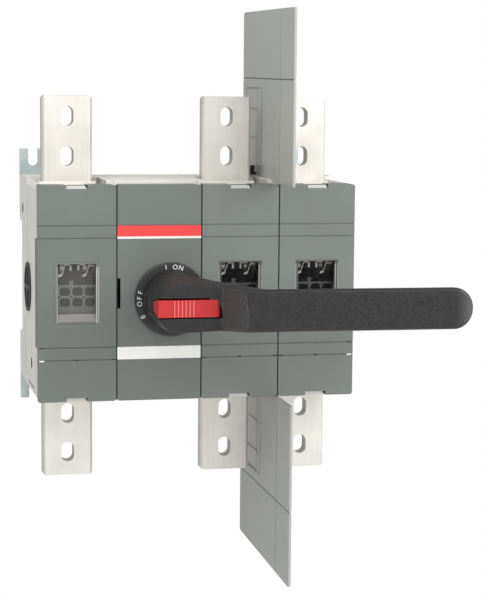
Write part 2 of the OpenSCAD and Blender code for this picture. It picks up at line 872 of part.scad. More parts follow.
module upper_spring()
    color([0.55, 0.56, 0.58])
        translate([rod_x, -rod_h, 0])
            coil(spring_r, rack_z[1] + fit, plate_z - fit, 7);

module lower_spring()
    color([0.55, 0.56, 0.58])
        translate([rod_x, -rod_h, 0])
            coil(spring_r, -plate_z + fit, rack_z[0] - fit, 4);

// Involute gear teeth. The flank angle is measured from the middle of a tooth.
function involute(a) = tan(a) * 180 / PI - a;
function flank_angle(teeth, r) =
    let (pitch_r = tooth_m * teeth / 2, base_r = pitch_r * cos(pressure))
    90 / teeth - backlash / 4 / pitch_r * 180 / PI + involute(pressure)
        - involute(acos(min(1, base_r / r)));

module gear_tooth(teeth) {
    pitch_r = tooth_m * teeth / 2;
    base_r = max(pitch_r * cos(pressure), pitch_r - tooth_ded);
    tip = pitch_r + tooth_add;
    foot = pitch_r - tooth_ded - 1;
    steps = 4;
    flank = [for (i = [0 : steps]) let (r = base_r + (tip - base_r) * i / steps)
        [r, flank_angle(teeth, r)]];
    low = [[foot, flank[0][1]]];
    side = concat(low, flank);
    polygon([for (p = side) p[0] * [cos(p[1]), -sin(p[1])],
        for (i = [len(side) - 1 : -1 : 0]) side[i][0] * [cos(side[i][1]), sin(side[i][1])]]);
}

// A toothed sector that points along its own x axis; teeth below zero mesh later
module gear_shape(teeth, angle) {
    circle(tooth_m * teeth / 2 - tooth_ded);
    for (i = [-ceil(angle / 360 * teeth) - 2 : 2])
        rotate([0, 0, i * 360 / teeth])
            gear_tooth(teeth);
}

module drive_pinion()
    color([0.60, 0.61, 0.62])
        difference() {
            translate([handle_x, -pinion_h[1], handle_z])
                rotate([90, 0, 180])
                    linear_extrude(tooth_face)
                        gear_shape(drive_teeth, swing);
            slab([handle_x - square_a / 2 - fit, handle_x + square_a / 2 + fit],
                [pinion_h[0] - 1, pinion_h[1] + 1],
                [handle_z - square_a / 2 - fit, handle_z + square_a / 2 + fit]);
        }

module contact_pinion()
    color([0.60, 0.61, 0.62])
        difference() {
            union() {
                translate([gear_x[1], -axis_h, 0])
                    rotate([90, 0, -90])
                        linear_extrude(gear_x[1] - gear_x[0])
                            gear_shape(contact_teeth, open_angle);
                axle([frame_x[0] - fit, frame_x[1] + fit], axis_h, 0, journal_r);
            }
            swung_open()
                square_bar([frame_x[0] - 1, frame_x[1] + 1], square_a + 2 * run_fit);
        }

// A rack tooth drawn with the pitch line at x = 0 and the tip at positive x
module rack_tooth() {
    half = tooth_pitch / 4 - backlash / 4;
    polygon([[-tooth_ded - 0.5, -half - (tooth_ded + 0.5) * tan(pressure)],
        [tooth_add, -half + tooth_add * tan(pressure)],
        [tooth_add, half - tooth_add * tan(pressure)],
        [-tooth_ded - 0.5, half + (tooth_ded + 0.5) * tan(pressure)]]);
}

// The rack joins both pinions: teeth on its right for the handle's, and on its back for
// the contact shaft's. It slides on the guide rod.
module rack()
    color([0.60, 0.61, 0.62])
        difference() {
            union() {
                slab(rack_x, rack_h, rack_z);
                for (i = [-rack_n : 1]) {
                    front_sheet([pinion_h[0] - 0.5, pinion_h[1] + 0.5])
                        translate([handle_x - drive_r, handle_z + (i + 0.5) * tooth_pitch])
                            rack_tooth();
                    translate([gear_x[1] + 0.5, -axis_h - contact_r, (i + 0.5) * tooth_pitch])
                        rotate([90, 0, -90])
                            linear_extrude(gear_x[1] - gear_x[0] + 1)
                                mirror([1, 0])
                                    rack_tooth();
                }
            }
            translate([rod_x, -rod_h, rack_z[0] - 1])
                cylinder(r = rod_r + run_fit, h = rack_z[1] - rack_z[0] + 2);
        }

// Operating shaft: square in the pinion and in the hub, round in its two bearings
module operating_shaft()
    color([0.70, 0.71, 0.72])
        difference() {
            union() {
                slab([handle_x - square_a / 2, handle_x + square_a / 2], [pinion_h[0], shaft_end],
                    [handle_z - square_a / 2, handle_z + square_a / 2]);
                post(handle_x, handle_z, [pinion_h[1] + 1, hub_back + 1], shaft_r);
            }
            post(handle_x, handle_z, [shaft_end - 14, shaft_end + 1], 3);
        }

// Square contact shaft through all modules
module contact_shaft()
    color([0.70, 0.71, 0.72])
        swung_open()
            square_bar([left_x + case_wall, -left_x - case_wall], square_a);

// A thin slice of the handle at x from its axis, from pairs of height and half width
module handle_slice(x, ring)
    side_sheet([x, x + slice_t])
        polygon(concat(ring, [for (i = [len(ring) - 1 : -1 : 0]) [ring[i][0], -ring[i][1]]]));

// Slices from the hub over the slanted collar to the grip. The neck narrows in a straight
// taper from the hub's side to the grip, and its back rises from the hub to the grip's back.
function along_neck(x, a, b) = a + (b - a) * (x - neck_x[0]) / (neck_x[3] - neck_x[0]);
function neck_w(x) = along_neck(x, hub_r - 1, grip_w / 2 - grip_draft);
function neck_back(x) = along_neck(x, hub_step, grip_back);

module neck_slice(i) {
    x = neck_x[i];
    low = neck_back(x);
    bevel = grip_bevel + 1.6;
    front = i < 2 ? hub_front : grip_front;
    w = i < 2 ? face_w / 2 - i * 1.1 : grip_w / 2 - grip_bevel;
    side = i < 2 ? [] : [[front - bevel, grip_w / 2]];
    handle_slice(x, concat([[low, neck_w(x) - (i == 0 ? 0 : grip_round)], [low + grip_round + 1, neck_w(x)]],
        side, [[front, w]]));
}

module grip_end() {
    r = grip_w / 2;
    x = handle_l - r;
    post(x, 0, [grip_back, grip_back + 1], r - grip_draft - grip_round, $fn = 32);
    post(x, 0, [grip_back + grip_round, grip_back + grip_round + 1], r - grip_draft, $fn = 32);
    post(x, 0, [grip_front - roll_d - 1, grip_front - roll_d], r, $fn = 32);
    for (part = [0.04, 0.12, 0.25, 0.45, 0.7, 1]) {
        d = part * roll_l;
        front = grip_front - roll_d * (1 - sqrt(1 - pow(1 - part, 2)));
        w = sqrt(r * r - pow(max(0, r - d), 2));
        handle_slice(handle_l - d - slice_t, [[front - 3, w], [front, max(w - grip_bevel, w * 0.7)]]);
    }
}

// Drawn about its own axis at the origin: the hub blends from a round foot to a flattened
// face, and the arm runs off to the right
module handle_body() {
    hull() {
        post(0, 0, [hub_back + 12, hub_step], hub_r, $fn = 40);
        intersection() {
            post(0, 0, [hub_front - 0.1, hub_front], face_r, $fn = 40);
            slab([-hub_r, face_r - 6], [0, body_d * 2], [-face_w / 2, face_w / 2]);
        }
    }
    rotate([0, grip_sag, 0])
        for (i = [0 : 2])
            hull() {
                neck_slice(i);
                neck_slice(i + 1);
            }
    rotate([0, grip_sag, 0])
        hull() {
            neck_slice(3);
            grip_end();
        }
    post(0, 0, [hub_back, hub_back + 15], hub_r + 1);
}

// Tongue at the padlock lever's left end: straight through the lever's front plate, and
// tapered below it to a round end
module tongue(x, gap, front) {
    w = lever_w / 2 + gap;
    back = hub_front + 0.5 - lever_t;
    side_sheet(x)
        polygon([[nose_h, handle_z - nose_r - gap], [back, handle_z - w], [front, handle_z - w],
            [front, handle_z + w], [back, handle_z + w], [nose_h, handle_z + nose_r + gap]]);
    axle(x, nose_h, handle_z, nose_r + gap);
}

module handle_grip()
    color([0.19, 0.18, 0.18])
        difference() {
            translate([handle_x, 0, handle_z])
                handle_body();
            slab([lever_left + lever_nose + clear, collar_x], [pocket_floor, grip_front + 1],
                [handle_z - lever_w / 2 - clear, handle_z + lever_w / 2 + clear]);
            tongue([handle_x - hub_r - 2, lever_left + lever_nose + 1], clear, grip_front);
            slab([handle_x - square_a / 2 - fit, handle_x + square_a / 2 + fit],
                [hub_back - 1, shaft_end + fit],
                [handle_z - square_a / 2 - fit, handle_z + square_a / 2 + fit]);
            post(handle_x, handle_z, [hub_back - 1, hub_back + 1.5], shaft_r + clear);
            post(handle_x, handle_z, [hub_back, pocket_floor + 1], 3 + fit);
            translate([pivot_x, -pivot_h, handle_z - lever_w / 2 - 5])
                cylinder(r = lever_pin_r + run_fit, h = lever_w + 10);
        }

// Red lever in the hub's front: it folds out at its left end and shows the padlock holes
module padlock_lever() {
    front = hub_front + 0.5;
    color([0.83, 0.20, 0.21])
        difference() {
            union() {
                slab([lever_left + lever_nose - 0.1, pivot_x], [front - lever_t, front],
                    [handle_z - lever_w / 2, handle_z + lever_w / 2]);
                tongue([lever_left, lever_left + lever_nose], 0, front);
                translate([pivot_x, -pivot_h, handle_z - lever_w / 2])
                    cylinder(r = knuckle_r, h = lever_w);
                slab([lever_left + 9, pivot_x - 11], [pocket_floor + 7, front - 1],
                    [handle_z - 3, handle_z + 3]);
            }
            for (i = [0 : 2])
                translate([lever_left + 15.5 + 11 * i, lever_t - front + lock_r + 2, handle_z - 4])
                    cylinder(r = lock_r, h = 8);
            translate([pivot_x, -pivot_h, handle_z - lever_w / 2 - 1])
                cylinder(r = lever_pin_r + run_fit, h = lever_w + 2);
            slab([pivot_x - knuckle_r - 1.5, pivot_x + knuckle_r + 1], [0, pivot_h],
                [handle_z + 3.5, handle_z + lever_w / 2 - 1.5]);
            translate([pivot_x, -pivot_h, handle_z + 3.5])
                cylinder(r = spring_tube_r + clear, h = lever_w / 2 - 5);
        }
}

module lever_pin()
    color([0.72, 0.73, 0.74])
        translate([pivot_x, -pivot_h, handle_z - lever_w / 2 - 4])
            cylinder(r = lever_pin_r, h = lever_w + 8);

// Closing spring of the lever: a wound tube on the pin with a leg on the pocket's floor
module lever_spring()
    color([0.55, 0.56, 0.58])
        difference() {
            union() {
                translate([pivot_x, -pivot_h, handle_z + 3.5 + fit])
                    cylinder(r = spring_tube_r, h = lever_w / 2 - 5 - 2 * fit);
                slab([pivot_x + spring_tube_r - 0.8, pivot_x + spring_tube_r],
                    [pocket_floor + fit, pivot_h],
                    [handle_z + 4, handle_z + 4.8]);
            }
            translate([pivot_x, -pivot_h, handle_z])
                cylinder(r = lever_pin_r + run_fit, h = lever_w);
        }

// Screw that draws the hub onto the operating shaft
module handle_screw()
    color([0.72, 0.73, 0.74])
        difference() {
            union() {
                post(handle_x, handle_z, [shaft_end - 12, pocket_floor + 0.1], 2.95);
                post(handle_x, handle_z, [pocket_floor, pocket_floor + 4], 5);
            }
            translate([handle_x, -pocket_floor - 5, handle_z])
                rotate([-90, 0, 0])
                    cylinder(r = 2.9, h = 3, $fn = 6);
        }

// A mounting foot folded from sheet, drawn for the upper left corner of a casing
// whose end lies at z = top: sole on the panel, web, and plate on the casing beside its ear
module foot_sheet(top) {
    x = [left_x + case_gap / 2, left_x + case_gap / 2 + foot_w];
    web = [top, top + foot_t];
    sole_end = web[1] + foot_reach;
    low = top - foot_plate;
    difference() {
        union() {
            slab(x, [0, foot_t], [web[0], sole_end]);
            slab(x, [0, case_back], web);
            slab([x[0] + ear_t + fit, x[1]], [case_back - foot_t, case_back], [low, web[1]]);
        }
        post(x[0] + foot_w / 2, sole_end - foot_slot_d + foot_slot / 2, [-1, foot_t + 1], foot_slot / 2);
        slab([x[0] + foot_w / 2 - foot_slot / 2, x[0] + foot_w / 2 + foot_slot / 2], [-1, foot_t + 1],
            [sole_end - foot_slot_d + foot_slot / 2, sole_end + 1]);
        for (dx = [-1, 1])
            post(x[0] + foot_w / 2 + dx * foot_screw_x, foot_screw_z,
                [case_back - foot_t - 1, case_back + 1], screw_r + fit);
    }
}

module foot(sx, sz)
    color([0.70, 0.75, 0.76])
        mirror([sx < 0 ? 0 : 1, 0, 0])
            mirror([0, 0, sz > 0 ? 0 : 1])
                foot_sheet(sz > 0 ? ridge_z : end_z);

// Eight pan head screws that hold the feet to the casings
module foot_screws() {
    cx = -left_x - case_gap / 2 - foot_w / 2;
    plate = case_back - foot_t;
    color([0.72, 0.75, 0.77])
        for (sx = [-1, 1], sz = [-1, 1], dx = [-1, 1])
            difference() {
                union() {
                    post(sx * cx + dx * foot_screw_x, sz * foot_screw_z, [plate - 3.5, plate], screw_r + 2);
                    post(sx * cx + dx * foot_screw_x, sz * foot_screw_z, [plate - 1, inner_back + 7],
                        screw_r - run_fit);
                }
                slab([sx * cx + dx * foot_screw_x - 0.6, sx * cx + dx * foot_screw_x + 0.6],
                    [plate - 4.5, plate - 2], [sz * foot_screw_z - 3, sz * foot_screw_z + 3]);
            }
}

// Tie rods through all modules, with a nut sunk in each end wall
module tie_rods() {
    reach = -left_x - case_gap / 2 - 1;
    seat = -left_x - case_gap / 2 - 5;
    color([0.72, 0.75, 0.77])
        for (s = tie_spots) {
            axle([-reach, reach], s[0], s[1], tie_r);
            for (side = [-1, 1])
                translate([side > 0 ? seat : -seat, -s[0], s[1]])
                    rotate([0, side * 90, 0])
                        difference() {
                            cylinder(r = tie_head_r, h = 3.5, $fn = 6);
                            translate([0, 0, -1])
                                cylinder(r = tie_r, h = 6);
                        }
        }
}

// Round plugs over the ends of the contact shaft, with a cross of ribs
module side_plugs()
    color([0.15, 0.15, 0.15])
        for (side = [-1, 1])
            translate([side * (-left_x - case_gap / 2), -axis_h, 0])
                rotate([0, side * 90, 0])
                    difference() {
                        cylinder(r = plug_r, h = plug_t);
                        for (a = [0 : 90 : 270])
                            rotate([0, 0, a])
                                translate([2, 2, 0.8])
                                    intersection() {
                                        cylinder(r = plug_r - 6, h = plug_t);
                                        cube([plug_r, plug_r, plug_t]);
                                    }
                    }

// A phase barrier seen from the side, drawn for the upper end: base is where it stands,
// end where its back corner is, and its front corner lies further out by slope
module barrier_outline(base, end, slope) {
    r = 3;
    front = body_d + barrier_front;
    step = deck_front + (base > body_h / 2 ? clear : -clear);
    polygon([[1, base + clear], [step, base + clear], [step, body_h / 2 + clear],
        [front, body_h / 2 + clear], [front, end + slope - r], [front - r, end + slope],
        [1 + r, end], [1, end - r]]);
}

// Both faces carry a fold line, a bend line and a sunk panel, and the base has a tab
module barrier(s) {
    front = body_d + barrier_front;
    x = [barrier_x - barrier_t / 2, barrier_x + barrier_t / 2];
    rest = s > 0 ? ridge_z : end_z;
    line = [body_d + 3, body_d + 3 + barrier_score];
    panel = [16, axis_h - (s > 0 ? 18 : 8)];
    end = s > 0 ? upper_end : lower_end;
    slope = s > 0 ? -upper_drop : lower_drop;
    fold_slope = s > 0 ? slope : slope / 6;
    color([0.62, 0.63, 0.62])
        mirror([0, 0, s > 0 ? 0 : 1])
            difference() {
                union() {
                    side_sheet(x)
                        barrier_outline(rest, end, slope);
                    slab([x[0] - tab_w, x[0] + 1], tab_h, [rest, rest + tab_t]);
                    slab([x[0], x[1]], tab_h, [rest, rest + tab_t]);
                }
                for (side = [0, 1]) {
                    face = side == 0 ? [x[0] - 1, x[0] + 0.5] : [x[1] - 0.5, x[1] + 1];
                    side_sheet(face)
                        polygon([[0, fold_z - 0.6], [front + 1, fold_z + fold_slope - 0.6],
                            [front + 1, fold_z + fold_slope + 0.6], [0, fold_z + 0.6]]);
                    slab(side == 0 ? [x[0] - 1, x[0] + barrier_cut] : [x[1] - barrier_cut, x[1] + 1],
                        line, [body_h / 2, end + 10]);
                    slab(face, panel, [rest + 12, fold_z - 10]);
                }
                slab([x[0] - 1, x[1] + 1], [front - 2, front + 1],
                    [fold_z + fold_slope - 1.5, fold_z + fold_slope + 1.5]);
                translate([knob_x, -knob_h, rest - 1])
                    cylinder(r = tab_hole_r, h = tab_t + 2);
            }
}

// Knobs that clip the barriers' tabs to the casing
module barrier_knobs()
    color([0.12, 0.12, 0.12])
        for (s = [-1, 1]) {
            rest = (s > 0 ? ridge_z : end_z) + tab_t;
            mirror([0, 0, s > 0 ? 0 : 1])
                translate([knob_x, -knob_h, rest]) {
                    cylinder(r = knob_r + 0.9, h = 3);
                    cylinder(r = knob_r - 1, h = 5);
                    translate([0, 0, 4])
                        cylinder(r = knob_r, h = 5.4);
                    translate([0, 0, -tab_t - (s > 0 ? knob_pin : case_wall - 0.5)])
                        cylinder(r = tab_hole_r - fit, h = tab_t + 1 + (s > 0 ? knob_pin : case_wall - 0.5));
                }
        }

pole_case(0, -1);  // pole_1_case_left
pole_case(0, 1);  // pole_1_case_right
pole_cover(0);  // pole_1_cover
pole_window(0);  // pole_1_window
contact(0, 1);  // pole_1_upper_contact
contact(0, -1);  // pole_1_lower_contact
rotor(0);  // pole_1_rotor
blades(0);  // pole_1_blades
arc_stack(0);  // pole_1_arc_plates
screen(0);  // pole_1_screen
pole_case(1, -1);  // pole_2_case_left
pole_case(1, 1);  // pole_2_case_right
pole_cover(1);  // pole_2_cover
pole_window(1);  // pole_2_window
contact(1, 1);  // pole_2_upper_contact
contact(1, -1);  // pole_2_lower_contact
rotor(1);  // pole_2_rotor
blades(1);  // pole_2_blades
arc_stack(1);  // pole_2_arc_plates
screen(1);  // pole_2_screen
pole_case(2, -1);  // pole_3_case_left
pole_case(2, 1);  // pole_3_case_right
pole_cover(2);  // pole_3_cover
pole_window(2);  // pole_3_window
contact(2, 1);  // pole_3_upper_contact
contact(2, -1);  // pole_3_lower_contact
rotor(2);  // pole_3_rotor
blades(2);  // pole_3_blades
arc_stack(2);  // pole_3_arc_plates
screen(2);  // pole_3_screen
drive_case(-1);  // drive_case_left
drive_case(1);  // drive_case_right
drive_cover();
name_strip();
marking_label();
dial_plate();
mechanism_frame();
upper_spring();
lower_spring();
operating_shaft();
drive_pinion();
rack();
contact_pinion();
contact_shaft();
handle_grip();
padlock_lever();
lever_pin();
lever_spring();
handle_screw();
foot(-1, 1);  // foot_upper_left
foot(1, 1);  // foot_upper_right
foot(-1, -1);  // foot_lower_left
foot(1, -1);  // foot_lower_right
foot_screws();
tie_rods();
side_plugs();
barrier(1);  // upper_barrier
barrier(-1);  // lower_barrier
barrier_knobs();
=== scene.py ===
# %% [markdown]
# # A three-pole switch disconnector with a pistol handle
#
# This lesson dresses a finished CAD model.

import json
import math

import bmesh
import bpy
from mathutils import Matrix, Vector

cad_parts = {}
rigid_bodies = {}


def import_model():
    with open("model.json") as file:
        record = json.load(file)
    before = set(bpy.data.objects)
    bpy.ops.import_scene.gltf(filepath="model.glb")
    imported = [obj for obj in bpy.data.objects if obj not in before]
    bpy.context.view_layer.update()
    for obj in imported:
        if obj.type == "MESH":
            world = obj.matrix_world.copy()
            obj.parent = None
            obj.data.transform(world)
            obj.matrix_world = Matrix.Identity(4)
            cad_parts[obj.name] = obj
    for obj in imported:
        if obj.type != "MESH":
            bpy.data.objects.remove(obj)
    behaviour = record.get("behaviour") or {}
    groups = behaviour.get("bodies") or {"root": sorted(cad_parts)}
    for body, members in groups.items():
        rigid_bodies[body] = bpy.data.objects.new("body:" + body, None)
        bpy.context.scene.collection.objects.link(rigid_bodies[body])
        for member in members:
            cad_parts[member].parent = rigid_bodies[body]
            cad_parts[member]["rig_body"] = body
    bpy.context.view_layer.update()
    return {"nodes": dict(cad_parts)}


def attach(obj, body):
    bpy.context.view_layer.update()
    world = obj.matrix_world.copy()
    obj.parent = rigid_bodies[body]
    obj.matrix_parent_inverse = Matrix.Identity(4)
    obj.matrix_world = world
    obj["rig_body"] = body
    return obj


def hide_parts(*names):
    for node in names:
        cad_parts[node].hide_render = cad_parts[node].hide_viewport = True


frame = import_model()
nodes = frame["nodes"]
print("CAD nodes:", len(nodes))


# %% [markdown]
# ## The camera
#
# The photograph was taken from the left and a little above, with a long lens, so the upright
# edges stay nearly upright. A camera is a matrix: its columns are the directions to the right
# and up in the picture and the one that points back at the photographer. The turn, the tilt
# and the slight roll were found by setting the corners of the model against the photograph.

# %% Place the camera
CAMERA_AT = Vector((-0.3551, -1.9603, 0.2070))
TURN = math.radians(12.5)
TILT = math.radians(6.68)
ROLL = math.radians(0.48)
LENS_PIXELS = 1849.5
PHOTO_HEIGHT = 600
SENSOR = 36.0

ahead = Vector((math.sin(TURN) * math.cos(TILT), math.cos(TURN) * math.cos(TILT), -math.sin(TILT)))
level = Vector((math.cos(TURN), -math.sin(TURN), 0.0))
upright = level.cross(ahead)
right = math.cos(ROLL) * level + math.sin(ROLL) * upright
up = -math.sin(ROLL) * level + math.cos(ROLL) * upright

camera = bpy.data.objects.new("camera", bpy.data.cameras.new("camera"))
bpy.context.scene.collection.objects.link(camera)
camera.data.sensor_width = SENSOR
camera.data.lens = SENSOR * LENS_PIXELS / PHOTO_HEIGHT
turned = Matrix((right, up, -ahead)).transposed().to_4x4()
camera.matrix_world = Matrix.Translation(CAMERA_AT) @ turned
bpy.context.scene.camera = camera
print("Lens in millimetres:", round(camera.data.lens, 1))


# %% [markdown]
# ## Patterns for finishes
#
# No real surface has one colour and one gloss all over. A painted picture could be laid on
# each piece, but then every mesh would need a flat map. Noise needs none: it reads Object
# coordinates, so it fills the space of the piece and stays on it when it moves. One helper
# makes a noise, one stretches its middle range between two values, and one mixes two colours
# by it. The last gives a point's X, Y or Z, for a pattern that depends on the place.

# %% Helpers for patterns
MIX_FIRST, MIX_SECOND, MIX_RESULT = 6, 7, 2


def noise(tree, coords, scale, stretch=(1, 1, 1), detail=4.0, rough=0.55):
    """A noise pattern in object space. stretch squeezes it along an axis, which makes streaks."""
    place = tree.nodes.new("ShaderNodeMapping")
    place.inputs["Scale"].default_value = stretch
    tree.links.new(coords, place.inputs["Vector"])
    pattern = tree.nodes.new("ShaderNodeTexNoise")
    pattern.inputs["Scale"].default_value = scale
    pattern.inputs["Detail"].default_value = detail
    pattern.inputs["Roughness"].default_value = rough
    tree.links.new(place.outputs["Vector"], pattern.inputs["Vector"])
    return pattern.outputs["Fac"]


def spread(tree, value, low, high, start=0.3, stop=0.7):
    """Maps a pattern's middle range to low and high."""
    ranges = tree.nodes.new("ShaderNodeMapRange")
    for name, number in (("From Min", start), ("From Max", stop), ("To Min", low), ("To Max", high)):
        ranges.inputs[name].default_value = number
    tree.links.new(value, ranges.inputs["Value"])
    return ranges.outputs["Result"]


def blend_colours(tree, amount, first, second):
    """Mixes two colours, each a colour or a socket, by a pattern."""
    mix = tree.nodes.new("ShaderNodeMix")
    mix.data_type = "RGBA"
    tree.links.new(amount, mix.inputs["Factor"])
    for number, colour in ((MIX_FIRST, first), (MIX_SECOND, second)):
        if isinstance(colour, bpy.types.NodeSocket):
            tree.links.new(colour, mix.inputs[number])
        else:
            mix.inputs[number].default_value = (*colour, 1.0)
    return mix.outputs[MIX_RESULT]


def coordinate(tree, axis):
    """The X, Y or Z of a point in object space, in metres."""
    split = tree.nodes.new("ShaderNodeSeparateXYZ")
    coords = tree.nodes.new("ShaderNodeTexCoord")
    tree.links.new(coords.outputs["Object"], split.inputs["Vector"])
    return split.outputs[axis]


print("Pattern helpers:", noise.__name__, spread.__name__, blend_colours.__name__, coordinate.__name__)


# %% [markdown]
# ## One recipe for every finish
#
# Moulded plastic, tinned copper and zinc look different, but their shaders are built alike. A
# coarse noise makes slow changes of colour and gloss, and a fine noise makes grain. Drawn
# metal also gets streaks, and glass-filled plastic gets flecks. Values that are the same all
# over the surface are typed into the shader itself, because the exported model keeps those.

# %% The recipe
FLECK_COLOUR = (0.9, 0.9, 0.88)
FLECK_SCALE = 420
GRAIN_HEIGHT = 0.0004


def finish(name, colour, rough, metal=0.0, vary=0.06, cloud=25, rough_vary=0.06, grain=1500,
           bump=0.08, stretch=(1, 1, 1), streak=0.0, fleck=0.0, specular=0.5):
    """A finish with slow colour changes, grain, streaks along one axis and small flecks."""
    material = bpy.data.materials.new(name)
    material.use_nodes = True
    tree = material.node_tree
    shader = tree.nodes["Principled BSDF"]
    shader.inputs["Metallic"].default_value = metal
    shader.inputs["Specular IOR Level"].default_value = specular
    coords = tree.nodes.new("ShaderNodeTexCoord").outputs["Object"]
    clouds = noise(tree, coords, cloud)
    fine = noise(tree, coords, grain, stretch, detail=2.0)
    dark = tuple(c * (1 - vary) for c in colour)
    light = tuple(min(1.0, c * (1 + vary)) for c in colour)
    tone = blend_colours(tree, spread(tree, clouds, 0, 1), dark, light)
    if streak:
        lines = noise(tree, coords, grain, stretch, detail=3.0)
        deep = tuple(c * (1 - streak) for c in colour)
        tone = blend_colours(tree, spread(tree, lines, 0, 0.6, 0.45, 0.75), tone, deep)
    if fleck:
        dots = noise(tree, coords, FLECK_SCALE, detail=1.0)
        tone = blend_colours(tree, spread(tree, dots, 0, fleck, 0.62, 0.72), tone, FLECK_COLOUR)
    gloss = spread(tree, clouds, rough - rough_vary, rough + rough_vary)
    tree.links.new(tone, shader.inputs["Base Color"])
    tree.links.new(gloss, shader.inputs["Roughness"])
    raised = tree.nodes.new("ShaderNodeBump")
    raised.inputs["Strength"].default_value = bump
    raised.inputs["Distance"].default_value = GRAIN_HEIGHT
    tree.links.new(fine, raised.inputs["Height"])
    tree.links.new(raised.outputs["Normal"], shader.inputs["Normal"])
    return material


print("Recipe ready:", finish.__name__)


# %% [markdown]
# ## The plastics
#
# The casings are an off-white glass-filled moulding, whose fibres show as faint flecks. The
# covers are grey-green with the fine grain of an eroded mould, and the barriers are a plainer
# grey sheet. Dial and plugs are black; the padlock lever is red. Each of them could have its
# own shader, but one recipe with other colours and grain keeps them alike where they are.

# %% Plastics
casing = finish("casing", (0.80, 0.785, 0.73), 0.46, vary=0.05, cloud=30, fleck=0.35, bump=0.10)
casing_shade = finish("casing_shade", (0.40, 0.385, 0.35), 0.55, vary=0.06, cloud=60)
COVER_GRAIN = {"vary": 0.045, "cloud": 14, "grain": 2200, "bump": 0.10, "rough_vary": 0.05}
cover = finish("cover", (0.146, 0.163, 0.152), 0.42, **COVER_GRAIN)
cover_pale = finish("cover_pale", (0.170, 0.188, 0.176), 0.42, **COVER_GRAIN)
cover_end_shade = finish("cover_end_shade", (0.055, 0.060, 0.056), 0.5, vary=0.1, cloud=60)
barrier_grey = finish("barrier_grey", (0.385, 0.397, 0.371), 0.36, vary=0.05, cloud=12, grain=1800,
                      bump=0.06, rough_vary=0.07)
barrier_groove_shade = finish("barrier_groove_shade", (0.125, 0.132, 0.123), 0.5, vary=0.06, cloud=60)
barrier_trace = finish("barrier_trace", (0.26, 0.27, 0.253), 0.5, vary=0.06, cloud=60)
black_moulding = finish("black_moulding", (0.022, 0.021, 0.021), 0.45, vary=0.15, cloud=60, bump=0.12)
black_gloss = finish("black_gloss", (0.028, 0.026, 0.026), 0.30, vary=0.12, cloud=40, bump=0.05,
                     grain=1800)
print("Plastics:", len(bpy.data.materials))

# %% Reds, prints and dark places
lever_red = finish("lever_red", (0.50, 0.017, 0.019), 0.40, vary=0.07, cloud=60, bump=0.05)
rib_highlight_red = finish("rib_highlight_red", (0.75, 0.20, 0.19), 0.34, vary=0.10, cloud=200, bump=0.05)
dial_print = finish("dial_print", (0.80, 0.80, 0.79), 0.50, vary=0.08, cloud=300, bump=0.05)
screen_grey = finish("screen_grey", (0.13, 0.14, 0.142), 0.50, vary=0.08, cloud=60)
screen_haze_light = finish("screen_haze_light", (0.25, 0.255, 0.25), 0.50, vary=0.08, cloud=60)
# Near-black for slots, seats and openings that lie in shade: painted shade.
slot_shade = finish("slot_shade", (0.03, 0.032, 0.031), 0.6, vary=0.1, cloud=90)
slit_shade_brown = finish("slit_shade_brown", (0.11, 0.095, 0.08), 0.6, vary=0.1, cloud=90)
gap_shade_black = finish("gap_shade_black", (0.020, 0.021, 0.020), 0.7, vary=0.15, cloud=120)
print("Finishes so far:", len(bpy.data.materials))


# %% [markdown]
# ## The metals
#
# The terminals are tinned copper: a warm silver with soft drawing marks along the bar, duller
# and darker on their sides, where the darker tone is painted shade. Zinc plate on the feet is
# colder and cloudier. Inside there are silvered blades, plain steel and plated steel. A metal
# mirrors the room, so a high metal value needs a rich room around it; here it is kept lower
# where the photograph shows an even tone.

# %% Metals
tinned_copper = finish("tinned_copper", (0.80, 0.775, 0.72), 0.38, metal=0.5, vary=0.06, cloud=28,
                       grain=260, stretch=(1, 1, 0.06), streak=0.10, bump=0.10, rough_vary=0.10)
dull_shaded_tin = finish("dull_shaded_tin", (0.60, 0.58, 0.545), 0.42, metal=0.4, vary=0.08, cloud=40, streak=0.08)
silvered_copper = finish("silvered_copper", (0.46, 0.43, 0.39), 0.28, metal=0.95, vary=0.12,
                         cloud=45, grain=500, stretch=(1, 0.1, 1), streak=0.15)
plain_steel = finish("plain_steel", (0.50, 0.50, 0.51), 0.34, metal=1.0, vary=0.12, cloud=50,
                     grain=700, streak=0.15)
plated_steel = finish("plated_steel", (0.62, 0.63, 0.64), 0.28, metal=1.0, vary=0.08, cloud=70)
zinc_plate = finish("zinc_plate", (0.56, 0.63, 0.645), 0.40, metal=0.45, vary=0.12, cloud=55,
                    grain=320, streak=0.10, rough_vary=0.12)
burnished_steel = finish("burnished_steel", (0.05, 0.05, 0.055), 0.40, metal=0.8, vary=0.10, cloud=60)
# Near-white and barely metallic: a painted sheen of the clips' plated steel.
clip_sheen_white = finish("clip_sheen_white", (1.0, 0.99, 0.96), 0.24, metal=0.1, vary=0.04, cloud=120)
print("Finishes so far:", len(bpy.data.materials))


# %% [markdown]
# ## Pieces that ride on a body
#
# Every object that is made here belongs to one of the moving bodies. One helper turns a bmesh
# or a mesh into such an object, so that none is forgotten. Lengths are in metres in Blender
# and in millimetres on a drawing, so MM converts.

# %% A helper for new pieces
MM = 0.001


def new_piece(name, mesh_or_bmesh, body, slot, *materials):
    """Makes an object at the origin from a mesh or a bmesh, and lets it ride on a body."""
    mesh = mesh_or_bmesh
    if isinstance(mesh, bmesh.types.BMesh):
        mesh = bpy.data.meshes.new(name)
        mesh_or_bmesh.to_mesh(mesh)
        mesh_or_bmesh.free()
    for material in materials:
        mesh.materials.append(material)
    piece = bpy.data.objects.new(name, mesh)
    bpy.context.scene.collection.objects.link(piece)
    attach(piece, body)
    return piece


print("One millimetre in metres:", MM)


# %% [markdown]
# ## Soft edges
#
# A CAD solid has perfectly sharp edges, but a moulded or cut edge is always a little round
# and catches a line of light. A Bevel modifier would trip over the loose triangles of a CAD
# mesh, so a copy of it is merged first, its flat faces are joined, and an operator bevels its
# outer edges. The weighted normals keep the flat faces flat. The copy then stands for the
# CAD part.

